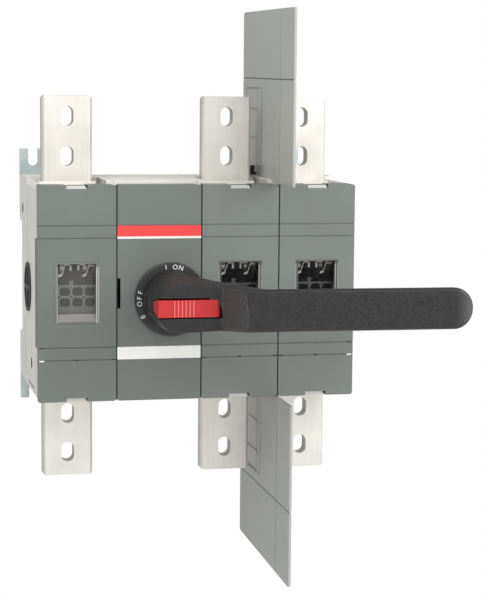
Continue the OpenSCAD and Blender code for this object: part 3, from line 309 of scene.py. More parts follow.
# %% Helpers that soften a copy of a CAD part
MERGE_WITHIN = 2e-6
FLAT_WITHIN = math.radians(0.6)
BEVEL_FROM = math.radians(30)
CREASE_FROM = math.radians(40)


def merged_copy(node):
    """A bmesh of a CAD node with its loose triangles joined and its flat faces whole."""
    shell = bmesh.new()
    shell.from_mesh(nodes[node].data)
    bmesh.ops.remove_doubles(shell, verts=shell.verts, dist=MERGE_WITHIN)
    bmesh.ops.dissolve_limit(shell, angle_limit=FLAT_WITHIN, verts=shell.verts, edges=shell.edges)
    return shell


def bevel_outer_edges(shell, width):
    """Bevels every convex edge that is sharp enough, and returns the new faces."""
    edges = [e for e in shell.edges if e.is_manifold and e.is_convex and e.calc_face_angle() > BEVEL_FROM]
    made = bmesh.ops.bevel(shell, geom=edges, offset=width, offset_type="OFFSET", segments=2,
                           profile=0.5, affect="EDGES", clamp_overlap=True, material=-1)
    return made["faces"]


def shade_flats(piece):
    """Smooth shading that stays flat on large faces and breaks at sharp edges."""
    shell = bmesh.new()
    shell.from_mesh(piece.data)
    for face in shell.faces:
        face.smooth = True
    for edge in shell.edges:
        edge.smooth = not (edge.is_manifold and edge.calc_face_angle() > CREASE_FROM)
    shell.to_mesh(piece.data)
    shell.free()
    weights = piece.modifiers.new("flat_faces", "WEIGHTED_NORMAL")
    weights.keep_sharp = True
    weights.weight = 100


def soften(node, width, slot, *materials, mark=None):
    """A softened copy that stands for a CAD node. mark picks the bevels for the second material."""
    shell = merged_copy(node)
    made = bevel_outer_edges(shell, width * MM)
    if mark:
        for face in made:
            face.material_index = 1 if mark(face) else 0
    piece = new_piece(node + "_form", shell, nodes[node]["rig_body"], slot, *materials)
    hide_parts(node)
    shade_flats(piece)
    return piece


print("Edges are bevelled from", round(math.degrees(BEVEL_FROM)), "degrees on")


# %% [markdown]
# ## Casings and covers
#
# Each module has a left and a right casing half and one cover. Their forms come from the CAD
# model; only the edges are softened. The walls between the terminal pockets stand in each
# other's shade, so their left faces, found by normal and height, get a darker colour: painted
# shade. The covers of poles 2 and 3 get a slightly paler grey. The bevel along a cover's lower
# end lies against the casing, in shade, and gets a dark colour as painted shade; it is picked
# out of the new faces of the bevel by its place, which is simpler than painting a line.

# %% Soften the casings and covers
POLES = ("pole_1", "pole_2", "pole_3")
MODULES = POLES + ("drive",)
CASING_SHADED = 2
DECK_Z = 103.5
OUTER_WALLS = 150.0
FRONT = 165.0
COVER_END = 107.0


def shade_pocket_walls(half):
    """Gives the left faces of the walls between the terminal pockets a darker colour: painted shade."""
    for face in half.data.polygons:
        spot = face.center / MM
        if face.normal.x < -0.9 and spot.z > DECK_Z and abs(spot.x) < OUTER_WALLS:
            face.material_index = CASING_SHADED


def at_cover_end(face):
    """True for a bevel at the lower end of a cover."""
    spot = face.calc_center_median() / MM
    return spot.z < -(COVER_END - 0.8) and spot.y < -(FRONT - 2) and abs(face.normal.z) > 0.3


for module in MODULES:
    for side in ("left", "right"):
        half = soften(f"{module}_case_{side}", 0.5, "casing", casing, slot_shade, casing_shade)
        shade_pocket_walls(half)
    cover_tone = cover_pale if module in ("pole_2", "pole_3") else cover
    # The dark bevel at a cover's lower end is painted shade.
    soften(f"{module}_cover", 0.7, "cover", cover_tone, cover_end_shade, mark=at_cover_end)
print("Modules dressed:", len(MODULES))


# %% [markdown]
# ## Nuts in shaded seats
#
# The tie rods end in nuts that are sunk in the outer sides. Their seats are narrow, so the
# walls lie in shade and look nearly black round the bright nut. A dark ring could be added,
# but it would sit on the wall. Instead the dark material, as painted shade, goes to the small
# faces that lie in a seat, found by their distance from the rod's axis.

# %% Shade the seats of the nuts
TIE_SPOTS = ((33.0, 76.5), (113.0, -75.0))
SEAT_X = (155.5, 160.6)
SEAT_RADIUS = 6.0
SEAT_SHADE = 1


def from_tie_rod(spot):
    """How far a point in millimetres is from the nearest tie rod's axis."""
    return min(math.hypot(-spot.y - height, spot.z - z) for height, z in TIE_SPOTS)


def shade_seats(piece):
    """Gives the faces inside the nuts' seats the dark material as painted shade, and counts them."""
    found = 0
    for face in piece.data.polygons:
        spot = face.center / MM
        if SEAT_X[0] < abs(spot.x) < SEAT_X[1] and from_tie_rod(spot) < SEAT_RADIUS:
            face.material_index = SEAT_SHADE
            found += 1
    return found


for name in ("pole_1_case_left_form", "pole_3_case_right_form"):
    print(name, "faces in the seats:", shade_seats(bpy.data.objects[name]))


# %% [markdown]
# ## Terminals
#
# The thick bars are sawn from drawn stock. Their front and its chamfers are bright, while
# the sawn ends, the sides and the walls of the slots are duller. A fine bevel breaks the
# rims. Faces that look sideways, up or down are found by their normal and get a duller tin
# that is also darker, as painted shade.

# %% Soften the terminals
DULL_AND_SHADED = 1
for pole in POLES:
    for end in ("upper", "lower"):
        bar = soften(f"{pole}_{end}_contact", 0.35, "tinned_copper", tinned_copper, dull_shaded_tin)
        sides = [face for face in bar.data.polygons if abs(face.normal.y) < 0.5]
        for face in sides:
            face.material_index = DULL_AND_SHADED
        print(bar.name, "side faces:", len(sides))


# %% [markdown]
# ## Boxes as a start for small parts
#
# Latch tabs, ribs, clips and marks are small moulded or stamped bodies. Typing their corners
# would be slow and easy to get wrong. Each starts as a cube from an operator, is scaled and
# moved to its place, and may get a bevel all round. Positions are given like on the drawing:
# x, height over the panel, and z.

# %% Helpers for small blocks
def bevel_all(shell, verts, width):
    """Bevels all edges at some corners."""
    edges = list({e for v in verts for e in v.link_edges})
    bmesh.ops.bevel(shell, geom=edges, offset=width * MM, offset_type="OFFSET", segments=2,
                    profile=0.5, affect="EDGES", clamp_overlap=True, material=-1)


def add_block(shell, x, height, z, bevel=0.0):
    """Adds a block from its ranges in millimetres, and returns its corners before the bevel."""
    size = [abs(b - a) for a, b in (x, height, z)]
    middle = [(a + b) / 2 for a, b in (x, height, z)]
    made = bmesh.ops.create_cube(shell, size=1.0)["verts"]
    bmesh.ops.scale(shell, vec=(size[0] * MM, size[1] * MM, size[2] * MM), verts=made)
    bmesh.ops.translate(shell, vec=(middle[0] * MM, -middle[1] * MM, middle[2] * MM), verts=made)
    if bevel:
        bevel_all(shell, made, bevel)
    return made


def add_blocks(name, body, slot, material, blocks, bevel=0.0):
    """One piece from many blocks, each given by its x, height and z ranges."""
    shell = bmesh.new()
    for x, height, z in blocks:
        add_block(shell, x, height, z, bevel)
    piece = new_piece(name, shell, body, slot, material)
    shade_flats(piece)
    print(name, "blocks:", len(blocks))


print("Block helpers:", bevel_all.__name__, add_block.__name__, add_blocks.__name__)


# %% [markdown]
# ## Painted shade between the covers
#
# The gaps between the covers lie in shade and look dark. A narrow black strip in each gap
# paints that shade. Only its front is seen, through a gap of a millimetre, so a plain strip
# does.

# %% Shade in the gaps between the covers
HOUSING = nodes["pole_1_case_left"]["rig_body"]
SEAMS = (-82.0, 3.0, 82.0)
GAP_SHADE_HEIGHT = (161.0, 163.7)
GAP_SHADE_Z = (-106.4, 106.4)
add_blocks("cover_gap_shade", HOUSING, "black_moulding", gap_shade_black,
           [((x - 0.5, x + 0.5), GAP_SHADE_HEIGHT, GAP_SHADE_Z) for x in SEAMS])


# %% [markdown]
# ## Grooves and slits in the sides
#
# The outer sides of the housing have shallow moulded grooves and, near the lower end, a slit
# along which the covers are unlatched. Cutting them would mean a Boolean on a large mesh for
# a depth that nobody sees, so they are thin strips that lie on the casings. Their darker
# colours are painted shade in the grooves and in the slit.

# %% Side grooves and slits
SIDE = 160.85
GROOVES = (((82.6, 83.8), (31.0, 101.0)), ((55.6, 57.6), (-95.0, -36.0)), ((150.6, 151.4), (-96.0, 98.0)))
SLIT = ((86.0, 137.0), (-97.6, -96.2))
for side, name in ((-1, "left"), (1, "right")):
    x = sorted((side * (SIDE - 0.3), side * (SIDE + 0.08)))
    # Dark strips: painted shade in the grooves and in the slit.
    add_blocks(f"{name}_side_groove_shade", HOUSING, "casing", casing_shade,
               [(x, height, z) for height, z in GROOVES])
    add_blocks(f"{name}_side_slit_shade", HOUSING, "casing", slit_shade_brown, [(x, *SLIT)])


# %% [markdown]
# ## Latch tabs
#
# In the notches at both ends of each pole's cover sits the casing's latch, an off-white tab
# with a slanted right end. Its grey is darker than the casing's, as painted shade of the notch.
# It starts as a block, and the corners of its upper right edge are moved to the left before the
# bevel. The tabs at the lower end lie a little deeper. Behind each upper tab the opening of the
# latch lies in shade; a dark block a little wider than the tab paints that shade along the tab's
# upper edge and in the corner beside the slant.

# %% Latch tabs in the covers' notches
POLE_X = {"pole_1": -121.5, "pole_2": 42.5, "pole_3": 121.5}
TAB_HALF = 10.3
TAB_DEPTH = 3.9
TAB_SLANT = 2.6


def latch_tab(shell, x, end):
    """Adds the tab at the upper end (1) or the lower end (-1) of a cover."""
    low, high = sorted((end * (COVER_END - TAB_DEPTH), end * (COVER_END - 0.2)))
    front = FRONT - 0.5 if end > 0 else FRONT - 2.5
    made = add_block(shell, (x - TAB_HALF, x + TAB_HALF), (FRONT - 13, front), (low, high))
    corner = [v for v in made if v.co.x > x * MM and v.co.z > (low + high) / 2 * MM]
    bmesh.ops.translate(shell, vec=(-TAB_SLANT * MM, 0, 0), verts=corner)
    bevel_all(shell, made, 0.35)


# The tabs' grey, darker than the casing's, is painted shade of the notches they sit in.
shaded_tab = finish("shaded_tab", (0.56, 0.56, 0.53), 0.45, vary=0.08, cloud=60)
for pole in POLES:
    middle = POLE_X[pole]
    body = nodes[f"{pole}_cover"]["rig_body"]
    shell = bmesh.new()
    for end in (1, -1):
        latch_tab(shell, middle, end)
    shade_flats(new_piece(f"{pole}_latch_tabs", shell, body, "casing", shaded_tab))
    # A dark block behind the tab: painted shade of the latch's opening.
    add_blocks(f"{pole}_latch_gap_shade", body, "casing", slot_shade,
               [((middle - TAB_HALF - 0.1, middle + TAB_HALF + 0.1), (FRONT - 3.2, FRONT - 0.6),
                 (COVER_END - TAB_DEPTH, COVER_END + 0.3))])


# %% [markdown]
# ## Slots in the score lines
#
# The lower score lines are crossed by small slots for a screwdriver. They lie in shade and
# show as short dark dashes in the middle of each cover and at its edges. At the two outer ends
# a white tick shows in the lower line instead. All are small blocks let into the covers, dark
# as painted shade of a slot, or in white paint.

# %% Dashes on the score lines
LINE_Z = -65.4
COVER_HALF = 39.5
SLOT_HALF = 2.0
SLOT_FROM_EDGE = 3.2
OUTERMOST = 155
for pole in POLES:
    middle = POLE_X[pole]
    reach = COVER_HALF - SLOT_FROM_EDGE
    spots = [x for x in (middle - reach, middle, middle + reach) if abs(x) < OUTERMOST]
    add_blocks(f"{pole}_slots", nodes[f"{pole}_cover"]["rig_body"], "cover", slot_shade,
               [((x - SLOT_HALF, x + SLOT_HALF), (FRONT - 1.4, FRONT - 0.25),
                 (LINE_Z - 0.75, LINE_Z + 0.75)) for x in spots], bevel=0.15)

# %% Marks at the outer ends
white_paint = finish("white_paint", (0.86, 0.86, 0.84), 0.5, vary=0.04, cloud=90)
# Dark blocks as painted shade of the slots at the outer ends.
add_blocks("outer_slots", HOUSING, "cover", slot_shade,
           [(x, (FRONT - 1.4, FRONT - 0.15), (-54.0, -52.4)) for x in ((-158.2, -154.4), (154.4, 158.2))])
add_blocks("white_ticks", HOUSING, "white_label", white_paint,
           [(x, (FRONT - 1.4, FRONT + 0.05), (LINE_Z - 1.1, LINE_Z + 0.3))
            for x in ((-158.8, -154.0), (154.0, 158.8))], bevel=0.1)


# %% [markdown]
# ## Clear plastics
#
# The windows are clear mouldings. Real glass shaders bend light and are slow and noisy in a
# thin pane, so the panes are only made see-through by their alpha. The first window's pane is
# dull with haze, and its rim is frosted. The rims of the other two stand in shade.

# %% Clear plastics
def clear_plastic(name, colour, opacity, rough):
    """A finish that lets light through."""
    material = finish(name, colour, rough, vary=0.05, cloud=80, rough_vary=0.02, grain=1500,
                      bump=0.02)
    material.node_tree.nodes["Principled BSDF"].inputs["Alpha"].default_value = opacity
    return material


frosted = clear_plastic("frosted", (0.20, 0.21, 0.204), 0.88, 0.35)
clear = clear_plastic("clear", (0.03, 0.03, 0.03), 0.16, 0.06)
shaded_rim = clear_plastic("shaded_rim", (0.09, 0.095, 0.092), 0.90, 0.35)
hazy = clear_plastic("hazy", (0.26, 0.255, 0.25), 0.18, 0.30)
# A paler rim for the sill and the rim's inner side: painted light.
rim_light = clear_plastic("rim_light", (0.27, 0.265, 0.25), 0.96, 0.25)
edge_light = clear_plastic("edge_light", (0.52, 0.515, 0.49), 0.96, 0.25)
print("Finishes so far:", len(bpy.data.materials))


# %% [markdown]
# ## Windows
#
# A window has a raised rim, a pane and a slanted sill in one piece. Rim and pane differ only
# in how they pass light, so one mesh gets several materials: the pane's two large faces are
# found by their place, and the sill and the rim's inner side by their normal. The sill and
# the rim's inner side get a paler copy of the rim's finish, as painted light. Light that runs
# inside the clear rim leaves it at its edges, which then look nearly white. Fine blocks in a
# pale finish on the rim paint those edges as highlights.

# %% Dress the windows
PANE_FRONT = 160.0
OPENING_HALF = 20
OPENING_Z = (-26, 31)
PANE, SLOPE, EDGE = 1, 2, 3
HAZY_EDGES = (((19.0, 19.9), (-29.5, 26.2)), ((21.3, 21.9), (-30.5, 27.5)),
              ((-19.6, -19.2), (-28.5, 27.5)))
CLEAR_EDGES = (((19.1, 19.6), (-28.5, 26.5)), ((21.6, 21.9), (-28.5, 27.5)),
               ((-21.9, -21.5), (-28.5, 27.5)))


def mark_pane_and_slopes(shell, middle):
    """Tells the pane's faces and the slanted inner faces, which get painted light, from the rim."""
    for face in shell.faces:
        spot = face.calc_center_median() / MM
        inside = abs(spot.x - middle) < OPENING_HALF and OPENING_Z[0] < spot.z < OPENING_Z[1]
        if inside and spot.y > -(PANE_FRONT + 0.05) and abs(face.normal.y) > 0.9:
            face.material_index = PANE
        elif inside and (face.normal.x < -0.5 or 0.3 < face.normal.z < 0.97):
            face.material_index = SLOPE


def add_bright_edges(shell, middle, edges):
    """Adds fine upright blocks on the rim, at x and z ranges from the window's middle."""
    rim_front = max(-vert.co.y for vert in shell.verts) / MM
    for x, z in edges:
        made = add_block(shell, [middle + a for a in x], (FRONT - 0.4, rim_front + 0.12), z)
        for face in {face for vert in made for face in vert.link_faces}:
            face.material_index = EDGE


for pole in POLES:
    is_hazy = pole == "pole_1"
    rim, pane = (frosted, hazy) if is_hazy else (shaded_rim, clear)
    shell = merged_copy(f"{pole}_window")
    bevel_outer_edges(shell, 0.4 * MM)
    mark_pane_and_slopes(shell, POLE_X[pole])
    add_bright_edges(shell, POLE_X[pole], HAZY_EDGES if is_hazy else CLEAR_EDGES)
    piece = new_piece(f"{pole}_window_form", shell, nodes[f"{pole}_window"]["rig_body"], "window",
                      rim, pane, rim_light, edge_light)
    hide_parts(f"{pole}_window")
    shade_flats(piece)
    print(piece.name, "pane faces:", sum(face.material_index == PANE for face in piece.data.polygons))


# %% [markdown]
# ## Spring clips behind the panes
#
# In the upper part of each window bright spring clips show, which press on the contacts. They
# hang from a rail that spans the casing behind the window's upper edge. Each clip is a bent
# strip: a foot at its lower end, a slanting leg, and a short bar with a tab beside it. A curve
# could draw the strip, but at ten pixels a few thin blocks, some of them turned, look alike.

# %% Helpers for the clips
CLIP_H = 149.0
FOOT_TOE = 2.0
LEG_RISE = 13.0


def add_strip(shell, middle, size, turn=0.0):
    """A thin block about a middle (x, height, z), turned in the plane of the front."""
    ranges = [(m - d / 2, m + d / 2) for m, d in zip(middle, size)]
    made = add_block(shell, *ranges)
    turning = Matrix.Rotation(math.radians(turn), 3, "Y")
    cent = (middle[0] * MM, -middle[1] * MM, middle[2] * MM)
    bmesh.ops.rotate(shell, verts=made, cent=cent, matrix=turning)


def add_leg(shell, foot_x, top_x):
    """A clip's foot and the leg that slants up from the foot's toe."""
    toe_x = foot_x + FOOT_TOE
    slant = math.degrees(math.atan2(top_x - toe_x, LEG_RISE))
    add_strip(shell, (foot_x, CLIP_H + 0.8, 17.2), (4.2, 1.4, 2.2), -22)
    add_strip(shell, ((toe_x + top_x) / 2, CLIP_H, 24.8), (0.8, 0.8, 15.5), slant)


def add_bar(shell, left, right, low):
    """A clip's short bar and the stem that holds it."""
    middle = (left + right) / 2
    add_strip(shell, (middle, CLIP_H + 0.6, low + 0.8), (right - left, 1.2, 1.6), 2)
    add_strip(shell, (middle, CLIP_H, 30.0), (1.0, 0.8, 4.6))


print("The clips lie at height", CLIP_H)

# %% Spring clips
CLIP_LEGS = ((-14.8, -8.0), (9.2, 15.4))
CLIP_BARS = ((-9.8, -3.2, 27.2), (2.2, 10.2, 27.2), (12.9, 19.6, 25.8))
CLIP_TABS = (-4.4, 3.4)
for pole in POLES:
    x = POLE_X[pole]
    shell = bmesh.new()
    add_strip(shell, (x, CLIP_H, 33.4), (71.0, 4.0, 5.2))
    for foot, top in CLIP_LEGS:
        add_leg(shell, x + foot, x + top)
    for left, right, low in CLIP_BARS:
        add_bar(shell, x + left, x + right, low)
    for tab in CLIP_TABS:
        add_strip(shell, (x + tab, CLIP_H + 0.6, 25.2), (1.9, 1.2, 6.2))
    print(f"{pole}_clips", "faces:", len(shell.faces))
    shade_flats(new_piece(f"{pole}_clips", shell, HOUSING, "plated_steel", clip_sheen_white))


# %% [markdown]
# ## A smooth skin
#
# The pistol handle is one thick moulding whose forms run into each other. The CAD solid has
# its forms as flat facets, and bevels would clash where many short edges meet. A voxel remesh
# turns it into an even skin of small squares instead, and a smoothing pass rounds every edge
# by about a millimetre, as polishing the mould does.

# %% A helper that skins and smooths
SKIN_SQUARE = 1.0
SKIN_PASSES = 5


def smooth_skin(shell, voxel, passes):
    """Remeshes a closed shell evenly, smooths it and returns the new mesh."""
    mesh = bpy.data.meshes.new("skin")
    shell.to_mesh(mesh)
    shell.free()
    piece = bpy.data.objects.new("skin", mesh)
    bpy.context.scene.collection.objects.link(piece)
    remesh = piece.modifiers.new("remesh", "REMESH")
    remesh.mode = "VOXEL"
    remesh.voxel_size = voxel * MM
    smooth = piece.modifiers.new("smooth", "SMOOTH")
    smooth.factor = 0.5
    smooth.iterations = passes
    seen = piece.evaluated_get(bpy.context.evaluated_depsgraph_get())
    made = bpy.data.meshes.new_from_object(seen)
    bpy.data.objects.remove(piece)
    made.polygons.foreach_set("use_smooth", [True] * len(made.polygons))
    return made


print("Squares of the skin in millimetres:", SKIN_SQUARE, "smoothing passes:", SKIN_PASSES)


# %% [markdown]
# ## The handle
#
# Before the handle is skinned, the walls of the lever's pocket are moved outwards, because
# the smoothing would close the narrow gap round the lever. Its black plastic has a coarser
# grain than the dial's and is painted paler towards the tip, as painted light that the round
# tip catches.

# %% Widen the pocket and skin the handle
HANDLE_Z = -6.3
LEVER_LEFT = -54.5
POCKET_X = (LEVER_LEFT - 4, 8)
POCKET_END = 5.5
POCKET_WALLS = (8.2, 9.2)
POCKET_FLOOR = 212


def widen_pocket(shell):
    """Moves the walls of the lever's pocket outwards, so that a dark gap shows round it."""
    moved = 0
    for vert in shell.verts:
        x, z = vert.co.x / MM, vert.co.z / MM - HANDLE_Z
        in_wall = POCKET_X[0] < x < POCKET_X[1] and POCKET_WALLS[0] < abs(z) < POCKET_WALLS[1]
        if in_wall and -vert.co.y / MM > POCKET_FLOOR:
            vert.co.z += math.copysign((1.3 if x > POCKET_END else 0.7) * MM, z)
            vert.co.x += (1.1 if x > POCKET_END else 0.0) * MM
            moved += 1
    print("Corners of the pocket moved:", moved)


HANDLE_GRAIN = {"cloud": 330, "grain": 900, "bump": 0.30, "rough_vary": 0.07, "specular": 0.40}
handle_black = finish("handle_black", (0.018, 0.0175, 0.0175), 0.42, vary=0.30, **HANDLE_GRAIN)
# A lighter, browner black for the slanted facet: painted light.
facet_light_black = finish("facet_light_black", (0.056, 0.0545, 0.0525), 0.48, vary=0.22, **HANDLE_GRAIN)
shell = merged_copy("handle_grip")
widen_pocket(shell)
handle_mesh = smooth_skin(shell, SKIN_SQUARE, SKIN_PASSES)
handle = new_piece("handle_form", handle_mesh, "handle", "handle_black", handle_black, facet_light_black)
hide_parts("handle_grip")
print("Handle faces:", len(handle_mesh.polygons))

# %% Painted light towards the tip
TIP_FADE = (232, 252)
TIP_LIGHT_BLACK = (0.07, 0.07, 0.07)


def fade_along_x(material, start, stop, colour):
    """Blends a finish into a paler one between two x positions."""
    tree = material.node_tree
    base = tree.nodes["Principled BSDF"].inputs["Base Color"]
    tone = base.links[0].from_socket
    along = spread(tree, coordinate(tree, "X"), 0, 1, start * MM, stop * MM)
    tree.links.new(blend_colours(tree, along, tone, colour), base)


# The paler black near the tip is painted light.
fade_along_x(handle_black, *TIP_FADE, TIP_LIGHT_BLACK)
print("The grip fades between x =", *TIP_FADE)


# %% [markdown]
# ## The facet between hub and grip
#
# A slanted facet joins the hub to the grip. It faces the light and looks a little lighter
# and browner, so it gets a lighter, browner black as painted light. Its faces are found by
# their place and normal and get the second material.

# %% Mark the facet
FACET_X = (6.6, 25.4)
FACET_NORMAL = 0.45
facet = [face for face in handle_mesh.polygons
         if FACET_X[0] < face.center.x / MM < FACET_X[1]
         and face.normal.y < -FACET_NORMAL and abs(face.normal.z) < FACET_NORMAL]
for face in facet:
    face.material_index = 1
print("Faces on the facet:", len(facet))


# %% [markdown]
# ## A painted highlight on the facet's edge
#
# Where the facet meets the grip's front, the edge catches the light and shows as a fine pale
# line that bows a little to the right; the line is a painted highlight. The squares of the
# skin are too coarse to paint it. A narrow grid is laid along the bow instead, and a ray cast
# from the front drops each of its corners onto the handle.

# %% Lay a fine line on the handle
IN_FRONT = -0.4
INWARDS = Vector((0, 1, 0))
LINE_TOP = (24.3, 8.2)
LINE_SPAN = 35.0
LINE_WIDTH = 0.5
LINE_LEAN = 1.4
LINE_BOW = 4.4


def drop_on_handle(x, z):
    """The point just in front of the handle's skin at x and z, in metres."""
    hit, spot = handle.ray_cast(Vector((x * MM, IN_FRONT, z * MM)), INWARDS)[:2]
    return spot - 0.08 * MM * INWARDS if hit else None


# A pale finish for the edge: a painted highlight.
edge_highlight = finish("edge_highlight", (0.115, 0.110, 0.107), 0.5, vary=0.25, cloud=300)
shell = bmesh.new()
grid = bmesh.ops.create_grid(shell, x_segments=1, y_segments=20, size=0.5)["verts"]
dropped = 0
for vert in grid:
    down = 0.5 - vert.co.y
    x = LINE_TOP[0] + LINE_LEAN * down + LINE_BOW * down * (1 - down) + vert.co.x * LINE_WIDTH
    spot = drop_on_handle(x, LINE_TOP[1] - down * LINE_SPAN)
    if spot:
        vert.co = spot
        dropped += 1
bmesh.ops.solidify(shell, geom=list(shell.faces), thickness=0.06 * MM)
bmesh.ops.recalc_face_normals(shell, faces=shell.faces)
shade_flats(new_piece("handle_worn_edge", shell, "handle", "handle_black", edge_highlight))
print("Corners of the line:", len(grid), "on the handle:", dropped)


# %% [markdown]
# ## The padlock lever
#
# The red lever lies in the hub's front. Its slanted left end catches more light than its
# front, so it gets a lighter red, and a fine pale line, a painted highlight, marks the crease
# between them. Six fine ribs near that end give a fingernail hold; they are a pale red as
# painted highlights on their crests. An Array modifier could repeat one rib, but a loop says
# the pitch in the same few words.

# %% Dress the lever
lever_end_red = finish("lever_end_red", (0.78, 0.035, 0.036), 0.40, vary=0.05, cloud=40)
lever = soften("padlock_lever", 0.6, "lever_red", lever_red, lever_end_red)
SLANT_TO = LEVER_LEFT + 8
slanted = [face for face in lever.data.polygons if face.center.x < SLANT_TO * MM
           and face.normal.x < -0.2 and face.normal.y < -0.2]
for face in slanted:
    face.material_index = 1
print("Faces of the lever's slanted end:", len(slanted))

# %% Add its ribs and its crease
HUB_FRONT = 246.0
RIB_COUNT = 6
RIB_START = 15.4
RIB_PITCH = 3.7
CREASE_X = (LEVER_LEFT + 5.5, LEVER_LEFT + 5.8)
shell = bmesh.new()
for i in range(RIB_COUNT):
    x = LEVER_LEFT + RIB_START + i * RIB_PITCH
    add_block(shell, (x - 0.45, x + 0.45), (HUB_FRONT - 0.2, HUB_FRONT + 1.0),
              (HANDLE_Z - 7.9, HANDLE_Z + 7.9), bevel=0.2)
# The crease is a fine pale block: a painted highlight.
add_block(shell, CREASE_X, (HUB_FRONT - 0.2, HUB_FRONT + 0.15), (HANDLE_Z - 7.4, HANDLE_Z + 7.4))
shade_flats(new_piece("lever_ribs", shell, "padlock_lever", "lever_red", rib_highlight_red))
print("Ribs on the lever:", RIB_COUNT)


# %% [markdown]
# ## The dial
#
# The dial is a low black ring. Its words stand round it with their tops outwards. They could
# be a picture on the dial, but letters as thin meshes stay crisp in every view. A text object
# makes each letter as a curve; it is given a little thickness and turned into a mesh before
# it is put in its place, so that the finished piece sits at the origin.

# %% Helpers for the dial's letters
HANDLE_X = -27.5
DIAL_FRONT = 170.0


def letter_mesh(letter, size):
    """One letter, centred, lying in the XY plane and 0.2 mm thick."""
    curve = bpy.data.curves.new("letter", "FONT")
    curve.body = letter
    curve.size = size * MM
    curve.align_x = "CENTER"
    curve.extrude = 0.1 * MM
    curve.offset = 0.05 * MM
    curve.resolution_u = 4
    writer = bpy.data.objects.new("letter", curve)
    bpy.context.scene.collection.objects.link(writer)
    bpy.context.view_layer.update()
    mesh = bpy.data.meshes.new_from_object(writer.evaluated_get(bpy.context.evaluated_depsgraph_get()))
    bpy.data.objects.remove(writer)
    return mesh


def add_letter(shell, letter, angle, radius, size):
    """Puts a letter on the dial with its foot towards the axis."""
    a = math.radians(angle)
    across = Vector((math.sin(a), 0, -math.cos(a)))
    outward = Vector((math.cos(a), 0, math.sin(a)))
    foot = radius - 0.35 * size
    place = Matrix((across, outward, across.cross(outward))).transposed().to_4x4()
    spot = Vector((HANDLE_X * MM, -DIAL_FRONT * MM, HANDLE_Z * MM)) + outward * foot * MM
    mesh = letter_mesh(letter, size)
    mesh.transform(Matrix.Translation(spot) @ place)
    shell.from_mesh(mesh)
    bpy.data.meshes.remove(mesh)


print("The letters lie at height", DIAL_FRONT)

# %% Dress the dial and print its words
# Each word has the angle of its middle, its radius and the step between its letters.
WORDS = (("I", 101, 33.0, 0), ("ON", 79.5, 32.7, 10.5), ("OFF", 176.5, 32.9, 10.0),
         ("0", -150.3, 33.6, 0))
LETTER = 6.6
soften("dial_plate", 0.5, "black_gloss", black_gloss)
shell = bmesh.new()
for word, middle, radius, step in WORDS:
    for i, letter in enumerate(word):
        add_letter(shell, letter, middle + step * ((len(word) - 1) / 2 - i), radius, LETTER)
new_piece("dial_words", shell, nodes["dial_plate"]["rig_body"], "black_gloss", dial_print)
print("Words on the dial:", ", ".join(entry[0] for entry in WORDS))


# %% [markdown]
# ## Strip and label
#
# The red strip has a white line along its lower edge. A second thin piece could be the line,
# but the material can paint it by height: the Z of the Object coordinates, compared with a
# number, gives a crisp border that moves with the piece. The small label below is plain.

# %% Strip and label
red_label = finish("red_label", (0.80, 0.055, 0.052), 0.38, vary=0.03, cloud=50, bump=0.03)
LINE_EDGE = (0.0562, 0.0566)
LINE_WHITE = (0.86, 0.80, 0.78)
tree = red_label.node_tree
base = tree.nodes["Principled BSDF"].inputs["Base Color"]
printed = base.links[0].from_socket
below = spread(tree, coordinate(tree, "Z"), 1, 0, *LINE_EDGE)
tree.links.new(blend_colours(tree, below, printed, LINE_WHITE), base)
soften("name_strip", 0.1, "red_label", red_label)
white_label = finish("white_label", (0.88, 0.875, 0.85), 0.50, vary=0.03, cloud=70, bump=0.05)
soften("marking_label", 0.1, "white_label", white_label)
print("The strip's line ends at z =", LINE_EDGE[0] / MM)


# %% [markdown]
# ## Feet, barriers and other outer parts
#
# Folded sheet, knobs and plugs keep their CAD forms with softened edges. The thinner the
# part, the finer its bevel, or the two bevels of a sheet's edge would meet.

# %% Dress the outer parts
FEET = ("foot_upper_left", "foot_upper_right", "foot_lower_left", "foot_lower_right")
BARRIERS = ("upper_barrier", "lower_barrier")
for foot in FEET:
    soften(foot, 0.35, "zinc_plate", zinc_plate)
for barrier in BARRIERS:
    soften(barrier, 0.25, "barrier_grey", barrier_grey, barrier_groove_shade)
soften("side_plugs", 0.25, "black_moulding", black_moulding)
soften("barrier_knobs", 0.3, "black_moulding", black_moulding)
print("Feet:", len(FEET), "barriers:", len(BARRIERS))


# %% [markdown]
# ## Score lines of the barriers
#
# A barrier can be folded and broken off along its score lines, which are narrow and lie in
# shade. They are cut in the CAD solid already, so the floors of those grooves only need a
# darker grey, as painted shade. They are found by their depth below the sheet's face. The low
# recess near the housing is as deep but stays light.

# %% Darken the score lines
BARRIER_MIDDLE = 81.75
BARRIER_HALF = 1.25
SCORE_DEPTH = (0.3, 0.9)
RECESS_HEIGHT = 90
RECESS_Z = 205
# The floors of the score lines get the darker grey as painted shade.
for barrier in BARRIERS:
    dark = 0
    for face in bpy.data.objects[barrier + "_form"].data.polygons:
        spot = face.center / MM
        depth = BARRIER_HALF - abs(spot.x - BARRIER_MIDDLE)
        in_recess = -spot.y < RECESS_HEIGHT and abs(spot.z) < RECESS_Z
        if SCORE_DEPTH[0] < depth < SCORE_DEPTH[1] and abs(face.normal.x) > 0.9 and not in_recess:
            face.material_index = 1
            dark += 1
    print(barrier, "groove faces:", dark)


# %% [markdown]
# ## Raised lines of the barriers
#
# The moulded frame of the barrier's base is drawn by thin raised lines on both faces. Each is
# a flat block, given by its range of heights and of z, and stands on the left and on the
# right face of the sheet.

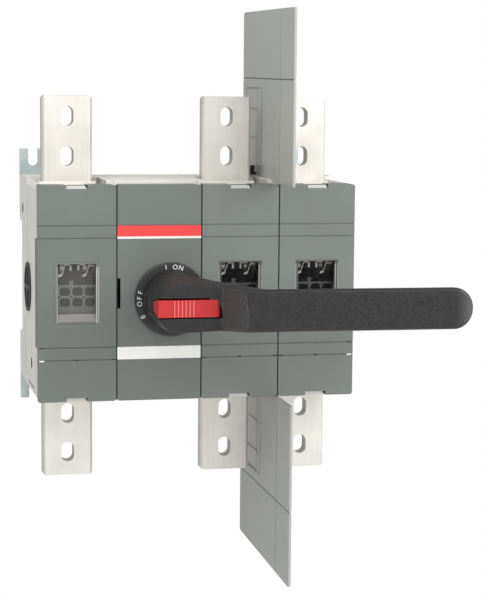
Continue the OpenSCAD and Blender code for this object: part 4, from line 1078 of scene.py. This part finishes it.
# %% Draw the raised lines
UPPER_LINES = (((86.8, 87.9), (119.0, 202.4)), ((17.0, 88.0), (202.0, 202.8)),
               ((17.0, 70.0), (180.7, 181.4)), ((17.0, 70.0), (150.6, 151.3)),
               ((69.5, 70.5), (119.0, 202.4)))
LOWER_LINES = (((94.0, 95.0), (-201.8, -160.0)), ((38.0, 99.0), (-147.7, -146.9)),
               ((38.0, 92.0), (-180.5, -179.6)), ((38.0, 94.0), (-202.1, -201.2)),
               ((79.0, 80.0), (-201.0, -122.0)))
BARRIER_FACES = ((80.4, 81.15), (82.35, 83.1))
for barrier, lines in zip(BARRIERS, (UPPER_LINES, LOWER_LINES)):
    blocks = [(x, height, z) for x in BARRIER_FACES for height, z in lines]
    add_blocks(barrier + "_lines", nodes[barrier]["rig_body"], "barrier_grey", barrier_trace, blocks)


# %% [markdown]
# ## The inside
#
# The remaining CAD parts are seen through the windows or from behind, or not at all. Their
# forms are right, so each keeps its mesh and only gets its finish, through its material slots.
# The screen behind the hazy pane is paler: painted light that the haze spreads over it.

# %% Finish the parts that keep their CAD mesh
IN_EACH_POLE = {"rotor": black_moulding, "blades": silvered_copper, "arc_plates": plain_steel,
                "screen": screen_grey}
FINISHES = {f"{pole}_{part}": material for pole in POLES for part, material in IN_EACH_POLE.items()}
# The paler screen behind the haze is painted light.
FINISHES["pole_1_screen"] = screen_haze_light
FINISHES.update({
    "mechanism_frame": plated_steel, "upper_spring": plain_steel, "lower_spring": plain_steel,
    "operating_shaft": plated_steel, "drive_pinion": plain_steel, "rack": plain_steel,
    "contact_pinion": plain_steel, "contact_shaft": plated_steel, "lever_pin": burnished_steel,
    "lever_spring": plain_steel, "handle_screw": plated_steel, "foot_screws": zinc_plate,
    "tie_rods": zinc_plate,
})
for node, material in FINISHES.items():
    for slot in nodes[node].material_slots:
        slot.material = material
print("CAD parts with a finish:", len(FINISHES))


# %% [markdown]
# ## Lights
#
# Switchgear is photographed on white, in soft light from all sides. A sun would throw hard
# shadows, so six large rectangles light it. Their powers were found by rendering each alone
# and mixing the pictures until the tones of the covers, bars and barriers came close to the
# photograph's. The far right one is the strongest.

# %% Soft lights
def area_light(name, at, look_at, width, height, power):
    """A soft rectangular light that faces a point."""
    data = bpy.data.lights.new(name, "AREA")
    data.shape = "RECTANGLE"
    data.size = width
    data.size_y = height
    data.energy = power
    lamp = bpy.data.objects.new(name, data)
    bpy.context.scene.collection.objects.link(lamp)
    away = Vector(at) - Vector(look_at)
    lamp.matrix_world = Matrix.Translation(at) @ away.to_track_quat("Z", "Y").to_matrix().to_4x4()


LIGHTS = (("key", (-1.2, -0.8, 1.1), (0.03, -0.15, 0.0), 1.2, 1.0, 3.7),
          ("front", (-0.2, -2.4, 0.5), (0.0, -0.15, 0.0), 2.2, 1.6, 7.2),
          ("far_right", (1.6, -1.2, 0.5), (0.1, -0.15, 0.0), 1.2, 1.4, 21.0),
          ("near_right", (0.50, -0.75, 0.55), (0.10, -0.165, 0.05), 0.7, 0.7, 3.0),
          ("top", (-0.30, -0.50, 0.78), (0.08, -0.10, 0.2), 0.5, 0.5, 2.5),
          ("low", (0.15, -1.3, -0.75), (0.05, -0.15, -0.1), 1.2, 0.8, 1.7))
for light in LIGHTS:
    area_light(*light)
print("Lights:", len(LIGHTS))


# %% [markdown]
# ## The white room
#
# The background is pure white, but as a light it would wash out every edge. A Light Path node
# tells the camera's own rays from the rest, so the room is white to look at and greyer as a
# light. The view transform is Standard, because Filmic or AgX would turn the white grey.

# %% Background
ROOM_AS_LIGHT = 0.48
ROOM_AS_SEEN = 1.0
world = bpy.data.worlds.new("studio")
world.use_nodes = True
tree = world.node_tree
backdrop = tree.nodes["Background"]
backdrop.inputs["Color"].default_value = (1, 1, 1, 1)
seen = tree.nodes.new("ShaderNodeLightPath").outputs["Is Camera Ray"]
strength = spread(tree, seen, ROOM_AS_LIGHT, ROOM_AS_SEEN, 0, 1)
tree.links.new(strength, backdrop.inputs["Strength"])
bpy.context.scene.world = world
bpy.context.scene.view_settings.view_transform = "Standard"
print("The room gives", ROOM_AS_LIGHT, "of the light that it shows")


# %% [markdown]
# ## The floor
#
# The switch hangs on a panel, so the floor lies far below it and only closes the room. It is
# a large white disc that glows a little, so that it stays as bright as the background.

# %% Floor
FLOOR_Z = -1.0
FLOOR_RADIUS = 2.2
FLOOR_GLOW = 0.25
shell = bmesh.new()
bmesh.ops.create_circle(shell, cap_ends=True, segments=96, radius=FLOOR_RADIUS)
bmesh.ops.translate(shell, vec=(0, 0, FLOOR_Z), verts=shell.verts)
floor_mesh = bpy.data.meshes.new("floor")
shell.to_mesh(floor_mesh)
shell.free()
floor_white = finish("floor", (0.93, 0.93, 0.925), 0.6, vary=0.01, cloud=3, bump=0.0)
glow = floor_white.node_tree.nodes["Principled BSDF"].inputs
glow["Emission Color"].default_value = (1, 1, 1, 1)
glow["Emission Strength"].default_value = FLOOR_GLOW
floor_mesh.materials.append(floor_white)
floor = bpy.data.objects.new("floor", floor_mesh)
bpy.context.scene.collection.objects.link(floor)
print("Floor at z =", FLOOR_Z)
